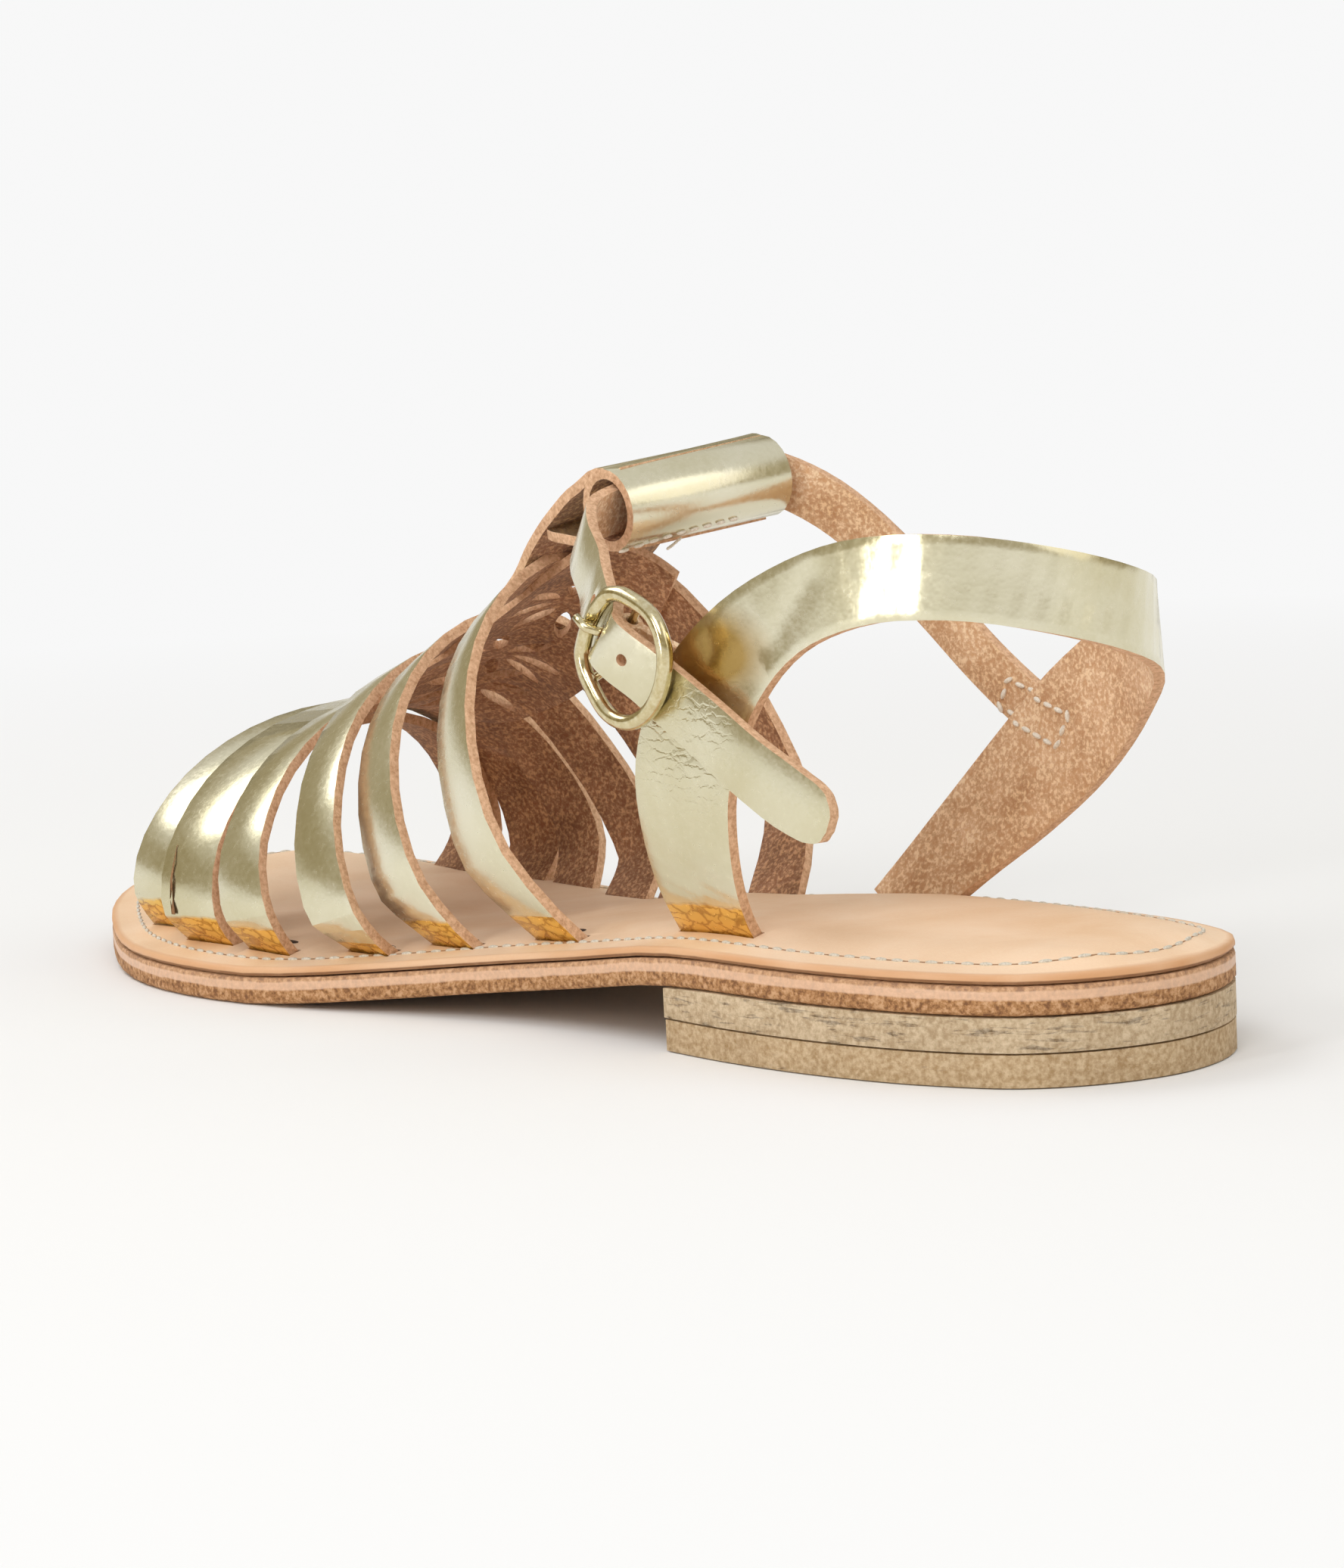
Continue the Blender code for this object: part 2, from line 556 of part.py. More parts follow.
def centrePiece(group, alongSteps=26, roundSteps=18):
    places = np.linspace(CENTRE["along"][0], CENTRE["along"][-1], alongSteps)
    starts = smoothRows(CENTRE["along"], CENTRE["outerDeg"], places)
    ends = smoothRows(CENTRE["along"], CENTRE["innerDeg"], places)
    depth = STRAP_THICK - WELD
    top, under = [], []
    for a, d0, d1 in zip(places, starts, ends):
        for k in range(roundSteps):
            d = d0 + (d1 - d0) * k / (roundSteps - 1)
            p = lastPoint(a, d)
            n = lastNormal(a, d)
            top.append(p - n * depth)
            under.append(p - n * (depth + SHEET_THICK))
    total = len(top)
    verts = top + under
    faces = []
    for i in range(alongSteps - 1):
        for k in range(roundSteps - 1):
            q = i * roundSteps + k
            face = (q, q + 1, q + roundSteps + 1, q + roundSteps)
            faces.append(face)
            faces.append(tuple(total + v for v in reversed(face)))
    rim = [k for k in range(roundSteps)]
    rim += [i * roundSteps + roundSteps - 1 for i in range(1, alongSteps)]
    rim += [(alongSteps - 1) * roundSteps + k for k in range(roundSteps - 2, -1, -1)]
    rim += [i * roundSteps for i in range(alongSteps - 2, 0, -1)]
    for a, b in zip(rim, rim[1:] + rim[:1]):
        faces.append((a, b, total + b, total + a))
    return makeObject("upper", verts, faces, group)


def petalCutter(along, degrees, turn, group):
    """Lens-shaped prism through the centre piece."""
    middle = lastPoint(along, degrees)
    n = lastNormal(along, degrees)
    ahead = unit(lastPoint(along - 0.05, degrees) - lastPoint(along + 0.05, degrees))
    side = np.cross(n, ahead)
    run = ahead * math.cos(turn) + side * math.sin(turn)
    cross = np.cross(n, run)
    middle = middle + run * PETAL_CENTRE
    verts = []
    for level in (2.5, -STRAP_THICK - SHEET_THICK - 3.0):
        for k in range(12):
            f = k / 12.0 * 2.0 * math.pi
            lengthwise = -math.cos(f) * PETAL_LONG / 2.0
            wide = math.copysign(abs(math.sin(f))**1.35, math.sin(f)) * PETAL_WIDE / 2.0
            verts.append(middle + run * lengthwise + cross * wide + n * level)
    faces = [tuple(range(12)), tuple(range(23, 11, -1))]
    faces += [(k, (k + 1) % 12, 12 + (k + 1) % 12, 12 + k) for k in range(12)]
    return makeObject("petal", verts, faces, group)


def loopTube(group, sides=22):
    """Rolled leather tube that the ankle strap runs through."""
    a, b = np.array(LOOP_OUTER), np.array(LOOP_INNER)
    axis = unit(b - a)
    up = unit(np.array((0.0, 0.0, 1.0)) - axis * axis[2])
    side = np.cross(axis, up)
    verts = []
    for centre in (a, b):
        for radius in (LOOP_RADIUS, LOOP_RADIUS - LOOP_WALL):
            for k in range(sides):
                f = 2.0 * math.pi * k / sides
                verts.append(centre + (up * math.cos(f) + side * math.sin(f)) * radius)
    faces = []
    for k in range(sides):
        n = (k + 1) % sides
        faces.append((k, n, 2 * sides + n, 2 * sides + k))
        faces.append((sides + n, sides + k, 3 * sides + k, 3 * sides + n))
        faces.append((n, k, sides + k, sides + n))
        faces.append((2 * sides + k, 2 * sides + n, 3 * sides + n, 3 * sides + k))
    return makeObject("loop", verts, faces, group)


def rod(name, a, b, radius, group, sides=14):
    """Round bar between two points."""
    a, b = np.array(a, float), np.array(b, float)
    axis = unit(b - a)
    helper = np.array((0.0, 0.0, 1.0)) if abs(axis[2]) < 0.8 else np.array((1.0, 0.0, 0.0))
    u = unit(np.cross(axis, helper))
    v = np.cross(axis, u)
    verts = []
    for centre in (a, b):
        for k in range(sides):
            f = 2.0 * math.pi * k / sides
            verts.append(centre + (u * math.cos(f) + v * math.sin(f)) * radius)
    faces = [tuple(range(sides)), tuple(range(2 * sides - 1, sides - 1, -1))]
    faces += [(k, (k + 1) % sides, sides + (k + 1) % sides, sides + k) for k in range(sides)]
    return makeObject(name, verts, faces, group)


def wire(name, path, radius, group, closed=False, sides=10):
    """Curve with a round section, turned into a mesh with its caps merged."""
    curve = bpy.data.curves.new(name, "CURVE")
    curve.dimensions = "3D"
    curve.bevel_depth = radius * MM
    curve.bevel_resolution = (sides - 4) // 2
    curve.use_fill_caps = True
    line = curve.splines.new("POLY")
    line.points.add(len(path) - 1)
    for point, place in zip(line.points, path):
        point.co = (place[0] * MM, place[1] * MM, place[2] * MM, 1.0)
    line.use_cyclic_u = closed
    thing = bpy.data.objects.new(name, curve)
    group.objects.link(thing)
    bpy.context.view_layer.update()
    graph = bpy.context.evaluated_depsgraph_get()
    mesh = bpy.data.meshes.new_from_object(thing.evaluated_get(graph))
    place = thing.matrix_world.copy()
    bpy.data.objects.remove(thing, do_unlink=True)
    bpy.data.curves.remove(curve)
    work = bmesh.new()
    work.from_mesh(mesh)
    bmesh.ops.remove_doubles(work, verts=work.verts, dist=0.000002)
    bmesh.ops.recalc_face_normals(work, faces=work.faces)
    work.to_mesh(mesh)
    work.free()
    result = bpy.data.objects.new(name, mesh)
    result.matrix_world = place
    group.objects.link(result)
    return result


# Buckle
RUN = unit(np.array(BUCKLE_RUN))
FACE = np.array((0.0, 1.0, 0.0))
ACROSS = np.cross(FACE, RUN)


def bucklePoint(run, across, lift=0.0):
    return np.array(BUCKLE_CENTRE) + RUN * run + ACROSS * across + FACE * lift


def makeBuckle(group):
    """D-shaped frame with a straight side, and the centre bar bent down below it."""
    side = list(zip(FRAME_SHAPE["run"], FRAME_SHAPE["half"]))
    rows = side + [(run, -half) for run, half in side[-2::-1]]
    loop = curveThrough([(run, half, 0.0) for run, half in rows], 5, closed=True)
    path = [bucklePoint(run, wide) for run, wide, flat in loop]
    frame = wire("buckle_frame", path, FRAME_WIRE, group, closed=True)
    reach = float(np.interp(-BAR_BACK, FRAME_SHAPE["run"], FRAME_SHAPE["half"]))
    bar = [bucklePoint(-BAR_BACK, -reach, 0.0), bucklePoint(-BAR_BACK, -reach + 2.2, -BAR_SUNK),
           bucklePoint(-BAR_BACK, reach - 2.2, -BAR_SUNK), bucklePoint(-BAR_BACK, reach, 0.0)]
    combine(frame, wire("bar", bar, BAR_WIRE, group), "UNION")
    return frame


def prongRing(reach):
    """Points round the centre bar, from behind it to the side of the prong."""
    bar = bucklePoint(-BAR_BACK, 0.0, -BAR_SUNK)
    turns = np.radians(np.linspace(-130.0, 120.0, 13))
    return [bar + (RUN * math.cos(f) + FACE * math.sin(f)) * reach for f in turns]


def makeProng(group):
    """Tongue of the buckle: an eye round the centre bar and a finger on the flat side."""
    path = prongRing(BAR_WIRE + FIT_GAP + PRONG_WIRE)
    top = FRAME_WIRE + FIT_GAP + PRONG_WIRE
    path += [bucklePoint(-4.8, 0.0, -0.6), bucklePoint(-5.5, 0.0, 0.9),
             bucklePoint(-6.4, 0.0, top - 0.2), bucklePoint(-FRAME_BACK, 0.0, top),
             bucklePoint(-FRAME_BACK - 1.6, 0.0, top - 0.05)]
    return wire("buckle_prong", path, PRONG_WIRE, group)


def makeTab(group):
    """Folded tab: round the centre bar, then back under the edge of the outer leg."""
    bar = bucklePoint(-BAR_BACK, 0.0, -BAR_SUNK)
    inner = BAR_WIRE + FIT_GAP
    outer = inner + TAB_PLY
    tube = []
    half = TAB_WIDE / 2.0
    sides = 18
    for end in (-half, half):
        for radius in (outer, inner):
            for k in range(sides):
                f = 2.0 * math.pi * k / sides
                tube.append(bar + ACROSS * end + RUN * radius * math.cos(f) + FACE * radius * math.sin(f))
    faces = []
    for k in range(sides):
        n = (k + 1) % sides
        faces.append((k, n, 2 * sides + n, 2 * sides + k))
        faces.append((sides + n, sides + k, 3 * sides + k, 3 * sides + n))
        faces.append((n, k, sides + k, sides + n))
        faces.append((2 * sides + k, 2 * sides + n, 3 * sides + n, 3 * sides + k))
    ring = makeObject("buckle_tab", tube, faces, group)
    low = -(BUCKLE_CENTRE[1] - BAR_SUNK) + TAIL_FACE_Y
    path = [bar + RUN * (inner + 0.35) + FACE * (TAB_PLY - 0.6), bar + RUN * 4.6 + FACE * (low * 0.55 + TAB_PLY),
            bar + RUN * 8.2 + FACE * (low + 0.35), bar + RUN * 11.0 + FACE * low, bar + RUN * TAB_LONG + FACE * low]
    path = curveThrough(path, 4)
    tangent = unit(np.gradient(path, axis=0))
    sidesWays = np.repeat(ACROSS[None], len(path), axis=0)
    outward = unit(np.cross(sidesWays, tangent))
    if outward[0] @ FACE < 0:
        outward = -outward
    tail = bandMesh("tail", path, outward, sidesWays, np.full(len(path), TAB_WIDE), 2.0 * TAB_PLY, group)
    combine(ring, tail, "UNION")
    return ring


def turned(name, centre, rows, group, sides=20):
    """Body turned round the Y axis; rows of (radius, place along Y)."""
    centre = np.array(centre, float)
    verts = []
    for radius, along in rows:
        for k in range(sides):
            f = 2.0 * math.pi * k / sides
            verts.append(centre + np.array((math.cos(f) * radius, along, math.sin(f) * radius)))
    faces = [tuple(range(sides)), tuple(range(len(verts) - 1, len(verts) - 1 - sides, -1))]
    for r in range(len(rows) - 1):
        for k in range(sides):
            n = (k + 1) % sides
            faces.append((r * sides + k, r * sides + n, (r + 1) * sides + n, (r + 1) * sides + k))
    return makeObject(name, verts, faces, group)


def rivetRows():
    """Small domed heads on both sides of tab and leg, joined by the shaft."""
    inner = TAIL_FACE_Y - 2.0 * TAB_PLY - FIT_GAP
    outer = LEG_FACE_Y + FIT_GAP
    return [(0.9, inner - 0.95), (1.9, inner - 0.75), (RIVET_HEAD, inner - 0.3), (RIVET_HEAD, inner),
            (RIVET_SHAFT, inner), (RIVET_SHAFT, outer), (RIVET_HEAD - 0.6, outer),
            (RIVET_HEAD - 0.6, outer + 0.3), (1.2, outer + 0.5)]


def cutSlots(insole, group):
    """Openings in the insole for every strap foot."""
    for index in range(len(STRAPS)):
        for cutter in strapSlots(strapRow(index), group):
            combine(insole, cutter, "DIFFERENCE")
    path, outward, across, widths = stripFrame(HEEL_STRAP, 4)
    for picked in (slice(0, 8), slice(-8, None)):
        cutter = slotCutter(path[picked], outward[picked], across[picked], widths[picked],
                            STRAP_THICK, group, "slot")
        combine(insole, cutter, "DIFFERENCE")


def footHeight(x, y):
    return outsoleTop(x, y) + FIT_GAP + 0.25


def makeUpper(parts, cutters):
    upper = centrePiece(parts)
    for along, degrees in FLOWERS:
        for k in range(PETALS_PER_FLOWER):
            turn = 2.0 * math.pi * (k + 0.5) / PETALS_PER_FLOWER
            combine(upper, petalCutter(along, degrees, turn, cutters), "DIFFERENCE")
    for index in range(len(STRAPS)):
        row = strapRow(index)
        strap = makeStrap(row, cutters)
        for side in ("outer", "inner"):
            trimFoot(strap, row, side)
        combine(upper, strap, "UNION")
    combine(upper, makeStrip("neck", NECK, cutters), "UNION")
    combine(upper, loopTube(cutters), "UNION")
    combine(upper, makeStrip("flap", FLAP, cutters), "UNION")
    axis = unit(np.array(LOOP_INNER) - np.array(LOOP_OUTER))
    bore = rod("bore", np.array(LOOP_OUTER) - axis, np.array(LOOP_INNER) + axis,
               LOOP_RADIUS - LOOP_WALL + BORE_SPARE, cutters, sides=22)
    combine(upper, bore, "DIFFERENCE")
    return upper


def trimFoot(thing, row, side):
    """Level the end of a strap inside the sole, on one side of the foot only."""
    x, y = row[side + "X"], row[side + "Y"]
    reach = 9.0
    height = max(footHeight(x - reach, y), footHeight(x + reach, y), footHeight(x, y))
    trimSide(thing, height, row["crestY"], 1.0 if side == "outer" else -1.0)


def trimSide(thing, height, middleY, sign):
    """Remove what lies under a height on one side of a line along the foot."""
    work = bmesh.new()
    work.from_mesh(thing.data)
    keep = [f for f in work.faces if (f.calc_center_median().y - middleY * MM) * sign > 0]
    geometry = set(keep)
    for f in keep:
        geometry.update(f.verts)
        geometry.update(f.edges)
    cut = bmesh.ops.bisect_plane(work, geom=list(geometry), dist=1e-7,
                                 plane_co=(0.0, 0.0, height * MM),
                                 plane_no=(0.0, 0.0, -1.0), clear_outer=True)
    edges = [e for e in cut["geom_cut"] if isinstance(e, bmesh.types.BMEdge)]
    bmesh.ops.holes_fill(work, edges=edges)
    bmesh.ops.recalc_face_normals(work, faces=work.faces)
    work.to_mesh(thing.data)
    work.free()


def cutAnkleHoles(strap, group):
    prong = [bucklePoint(-3.7, 0.0, -2.8), bucklePoint(-6.3, 0.0, 2.6)]
    combine(strap, rod("hole", prong[0], prong[1], PRONG_WIRE + 0.5, group), "DIFFERENCE")
    path, outward, across, widths = stripFrame(ANKLE_STRAP, 4)
    lengths = np.concatenate([[0.0], np.cumsum(np.linalg.norm(np.diff(path, axis=0), axis=1))])
    start = bucklePoint(PRONG_HOLE_RUN, 0.0, 0.6)
    late = len(path) // 2
    place = lengths[late + int(np.linalg.norm(path[late:] - start, axis=1).argmin())]
    for change in HOLES:
        at = place + change
        p = np.array([np.interp(at, lengths, path[:, i]) for i in range(3)])
        o = unit(np.array([np.interp(at, lengths, outward[:, i]) for i in range(3)]))
        combine(strap, rod("hole", p + o * 1.5, p - o * (STRAP_THICK + 1.5), HOLE_RADIUS, group),
                "DIFFERENCE")


def makeMaterial(name):
    colour, rough, metal = COLOURS[name]
    material = bpy.data.materials.new(name)
    material.use_nodes = True
    shader = material.node_tree.nodes.get("Principled BSDF")
    shader.inputs["Base Color"].default_value = (*colour, 1.0)
    shader.inputs["Roughness"].default_value = rough
    shader.inputs["Metallic"].default_value = metal
    material.diffuse_color = (*colour, 1.0)
    material.roughness = rough
    material.metallic = metal
    return material


def build():
    clearScene()
    parts = makeCollection("cage_sandal")
    cutters = makeCollection("cutters")
    outsoleSide = [(EDGE_ROUND * 0.4, "top", 0.0), (0.0, "top", -EDGE_ROUND),
                   (0.0, "bottom", EDGE_ROUND), (EDGE_ROUND, "bottom", 0.0)]
    insoleSide = [(EDGE_ROUND, "top", 0.0), (0.1, "top", -0.22), (0.0, "top", -EDGE_ROUND - 0.1),
                  (0.0, "bottom", GROOVE_HIGH), (GROOVE_DEEP, "bottom", GROOVE_HIGH),
                  (GROOVE_DEEP, "bottom", 0.0)]
    liftSide = [(0.0, "top", 0.0), (0.0, "bottom", 0.0)]
    outsole = layer("outsole", outsoleSide, outsoleTop, underside, parts, across=10)
    insole = layer("insole", insoleSide, insoleTop, insoleUnder, parts, across=16)
    upperLift = layer("heel_lift_upper", liftSide, lambda x, y: underside(x, y) - FIT_GAP,
                      lambda x, y: LIFT_THICK + FIT_GAP, parts, across=6, stations=26,
                      endX=HEEL_BREAST_X, shrink=HEEL_TAPER * 0.5)
    lowerLift = layer("heel_lift_lower", liftSide, lambda x, y: LIFT_THICK, lambda x, y: 0.0,
                      parts, across=6, stations=26, endX=HEEL_BREAST_X - HEEL_TAPER, shrink=HEEL_TAPER)
    cutSlots(insole, cutters)
    upper = makeUpper(parts, cutters)
    heelStrap = makeStrip("heel_strap", HEEL_STRAP, parts)
    for x, y, sign in ((72.0, 24.0, 1.0), (77.0, -21.0, -1.0)):
        height = max(footHeight(x - 10.0, y), footHeight(x + 10.0, y))
        trimSide(heelStrap, height, 0.0, sign)
    ankleStrap = makeStrip("ankle_strap", ANKLE_STRAP, parts)
    cutAnkleHoles(ankleStrap, cutters)
    frame = makeBuckle(parts)
    prong = makeProng(parts)
    tab = makeTab(parts)
    eye = BAR_WIRE + FIT_GAP + PRONG_WIRE
    bar = bucklePoint(-BAR_BACK, 0.0, -BAR_SUNK)
    half = PRONG_WIRE + FIT_GAP
    combine(tab, rod("slot", bar - ACROSS * half, bar + ACROSS * half, eye + PRONG_WIRE + FIT_GAP,
                     cutters, sides=20), "DIFFERENCE")
    place = bucklePoint(RIVET_ALONG, 0.0)
    place[1] = 0.0
    hole = RIVET_SHAFT + FIT_GAP
    for thing in (tab, heelStrap):
        combine(thing, rod("hole", place + FACE * 26.0, place + FACE * 36.4, hole, cutters, sides=18),
                "DIFFERENCE")
    rivet = turned("rivet", place, rivetRows(), parts)
    pieces = {"sole_leather": outsole, "insole_leather": insole, "heel_leather": upperLift,
              "heel_leather_low": lowerLift, "gold_foil_leather": upper,
              "gold_foil_heel_strap": heelStrap, "gold_foil_ankle_strap": ankleStrap,
              "buckle_metal": frame, "prong_metal": prong, "tab_leather": tab, "rivet_metal": rivet}
    low = np.array([1e9] * 3)
    high = -low
    for thing in pieces.values():
        for v in thing.data.vertices:
            low = np.minimum(low, v.co)
            high = np.maximum(high, v.co)
    shift = Vector((-(low[0] + high[0]) / 2.0, -(low[1] + high[1]) / 2.0, -low[2]))
    for name, thing in pieces.items():
        for v in thing.data.vertices:
            v.co += shift
        thing.data.materials.clear()
        thing.data.materials.append(makeMaterial(name))
        thing.data.update()
    print("shift", [round(c * 1000.0, 3) for c in shift])
    for name, thing in pieces.items():
        thing.data.calc_loop_triangles()
        print(thing.name, len(thing.data.loop_triangles))


build()
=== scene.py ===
import bpy
import bmesh
import math
from mathutils import Matrix, Vector
from mathutils.bvhtree import BVHTree


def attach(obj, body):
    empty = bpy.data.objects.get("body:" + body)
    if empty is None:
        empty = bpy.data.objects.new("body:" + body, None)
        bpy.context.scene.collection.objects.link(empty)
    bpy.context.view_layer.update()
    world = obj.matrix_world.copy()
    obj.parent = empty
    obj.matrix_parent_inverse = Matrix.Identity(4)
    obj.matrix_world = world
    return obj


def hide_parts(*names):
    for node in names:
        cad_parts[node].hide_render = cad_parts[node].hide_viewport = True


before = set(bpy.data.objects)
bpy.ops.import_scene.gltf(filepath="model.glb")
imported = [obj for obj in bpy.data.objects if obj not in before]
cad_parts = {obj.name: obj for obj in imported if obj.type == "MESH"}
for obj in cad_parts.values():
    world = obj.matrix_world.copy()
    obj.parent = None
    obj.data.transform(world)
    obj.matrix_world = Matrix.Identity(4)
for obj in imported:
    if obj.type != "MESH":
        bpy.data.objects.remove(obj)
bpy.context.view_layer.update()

mm = 0.001
# the solids stand with the middle of the sole at the origin, the tables below start at the heel
heelEnd = Vector((-125.018, -0.251, 0.0))

view = {
    "eye": (-514.17, 522.97, 139.02),      # mm, from the heel end
    "yaw": -132.397, "pitch": -4.071, "roll": -2.379,
    "aimAt": (-0.0405, -0.0585),           # the shoe's middle in the picture, over the focal length
    "lens": 79.0,
}

light = {
    "key":  {"place": (-0.75, 0.95, 1.05), "size": 0.7, "power": 6.4, "colour": "#FFFFFF"},
    "fill": {"place": (-1.3, -0.55, 0.8), "size": 1.3, "power": 4.0, "colour": "#FFFFFF"},
    "back": {"place": (0.9, 0.35, 1.15), "size": 0.9, "power": 5.5, "colour": "#FFFFFF"},
    "strip": {"place": (-0.14, 1.6, 0.42), "size": 0.26, "tall": 0.9, "power": 6.5, "colour": "#FFFFFF"},
    "horizon": "#FAFAFA", "band": "#A59A7C", "zenith": "#E2E2E2", "skyStrength": 0.98,
}

# the amber colour and its reach in mm are a painted reflection of the insole at the foot of each strap
foil = {
    "light": "#EAE4CC", "mid": "#DFD8BA", "deep": "#D0C6A0", "insoleReflection": "#EBBE5C", "crack": "#B07E2C",
    # the glow colour and its reach in mm are a painted dark gold reflection on the heel strap behind the
    # buckle
    "glow": "#AC852C", "darkReflectionMm": 8.0, "insoleReflectionMm": 5.6, "grainMm": 0.8, "grainDepth": 0.05,
    "wrinkleMm": 8.0, "wrinkleDepth": 0.3,
    "creaseMm": 1.8, "metal": 0.94, "rough": 0.21,
}
suede = {"light": "#E8CBAC", "deep": "#CDA984", "napMm": 0.75}
shadedSuede = {"light": "#BB9270", "deep": "#9A7352", "napMm": 0.75}      # darker and browner: painted shade under the cage
rawEdge = {"light": "#E4BC98", "deep": "#AE7E58", "fibreMm": 0.8}
insoleLeather = {
    "light": "#F2D6BA", "deep": "#E6C3A0", "edge": "#CB9260", "line": "#8F5E32", "poreMm": 0.45,
}
outsoleLeather = {
    "band": "#E6BEA0", "fibre": "#AE7E50", "deep": "#7E5434", "pale": "#CCA078", "grainMm": 0.9,
}
heelUpper = {"light": "#C4AC8A", "mid": "#B29874", "deep": "#6E5A40", "streaks": 0.42}
heelLower = {"light": "#B89A70", "mid": "#A98A60", "deep": "#7C6242", "streaks": 0.34}
brass = {"colour": "#E6DCB8", "rough": 0.14}
thread = {
    "insole": "#CFC8BC", "strap": "#F0E8DC", "channel": "#B48A66", "channelDeep": "#7E5634",
    "channelMm": 0.7, "sunkMm": 0.24, "insetMm": 4.6,
    # pitch, length and thickness of a stitch in mm
    "sole": (2.9, 2.1, 0.7), "leg": (2.6, 2.0, 0.85), "flap": (2.3, 1.8, 0.7), "loose": (0.7, 1.1, 0.5),
}
floor = {"colour": "#EDEDED", "radius": 30.0, "below": 0.0002, "fadeFrom": 0.14, "fadeTo": 0.64}

outline = {
    "x":     (0.0, 3.0, 10.0, 22.0, 40.0, 60.0, 80.0, 100.0, 120.0, 140.0,
              158.0, 175.0, 192.0, 208.0, 222.0, 234.0, 243.0, 248.5, 250.0),
    "outer": (0.0, 11.9, 21.6, 27.7, 32.0, 33.4, 32.2, 30.7, 32.5, 38.2,
              44.0, 46.8, 45.8, 41.0, 33.6, 25.3, 15.5, 4.7, -6.0),
    "inner": (0.0, -13.2, -22.3, -27.0, -28.6, -27.6, -24.9, -22.7, -24.2, -30.8,
              -38.6, -44.2, -46.2, -45.8, -43.2, -38.4, -30.4, -20.0, -6.0),
}
loopEnds = ((106.4, 14.0, 79.4), (104.6, -17.5, 82.4))


# point given in mm from the heel end
def place(x, y, z):
    return (Vector((x, y, z)) + heelEnd) * mm


# sRGB hex to the linear values that sockets take
def linear(colour):
    out = []
    for i in (1, 3, 5):
        c = int(colour[i:i + 2], 16) / 255.0
        out.append(c / 12.92 if c <= 0.04045 else ((c + 0.055) / 1.055) ** 2.4)
    return (*out, 1.0)


def addNode(tree, kind, values=None, links=None, **settings):
    node = tree.nodes.new(kind)
    for name, value in settings.items():
        setattr(node, name, value)
    for name, value in (values or {}).items():
        node.inputs[name].default_value = value
    for name, socket in (links or {}).items():
        tree.links.new(socket, node.inputs[name])
    return node


def newMaterial(name):
    material = bpy.data.materials.new(name)
    material.use_nodes = True
    tree = material.node_tree
    return material, tree, tree.nodes["Principled BSDF"]


def ramp(tree, factor, stops):
    node = addNode(tree, "ShaderNodeValToRGB", links={"Fac": factor})
    band = node.color_ramp
    while len(band.elements) < len(stops):
        band.elements.new(0.5)
    for element, (at, colour) in zip(band.elements, stops):
        element.position = at
        element.color = linear(colour) if isinstance(colour, str) else (colour, colour, colour, 1.0)
    return node.outputs["Color"]


def mixColour(tree, factor, a, b, blend="MIX"):
    node = addNode(tree, "ShaderNodeMix", data_type="RGBA", blend_type=blend)
    for socket, value in ((node.inputs[0], factor), (node.inputs[6], a), (node.inputs[7], b)):
        if isinstance(value, bpy.types.NodeSocket):
            tree.links.new(value, socket)
        elif isinstance(value, str):
            socket.default_value = linear(value)
        else:
            socket.default_value = value
    return node.outputs[2]


# noise whose features are about that many millimetres across
def noise(tree, vector, sizeMm, detail=3.0, rough=0.55, warp=0.0):
    node = addNode(tree, "ShaderNodeTexNoise", links={"Vector": vector},
                   values={"Scale": 1.0 / (sizeMm * mm), "Detail": detail, "Roughness": rough,
                           "Distortion": warp})
    return node.outputs["Fac"]


def stretched(tree, vector, scale):
    return addNode(tree, "ShaderNodeMapping", links={"Vector": vector},
                   values={"Scale": scale}).outputs["Vector"]


# bumps one after another: (height socket, depth in mm, strength)
def bumpChain(tree, steps):
    normal = None
    for height, depth, strength in steps:
        node = addNode(tree, "ShaderNodeBump", links={"Height": height},
                       values={"Distance": depth * mm, "Strength": strength})
        if normal:
            tree.links.new(normal, node.inputs["Normal"])
        normal = node.outputs["Normal"]
    return normal
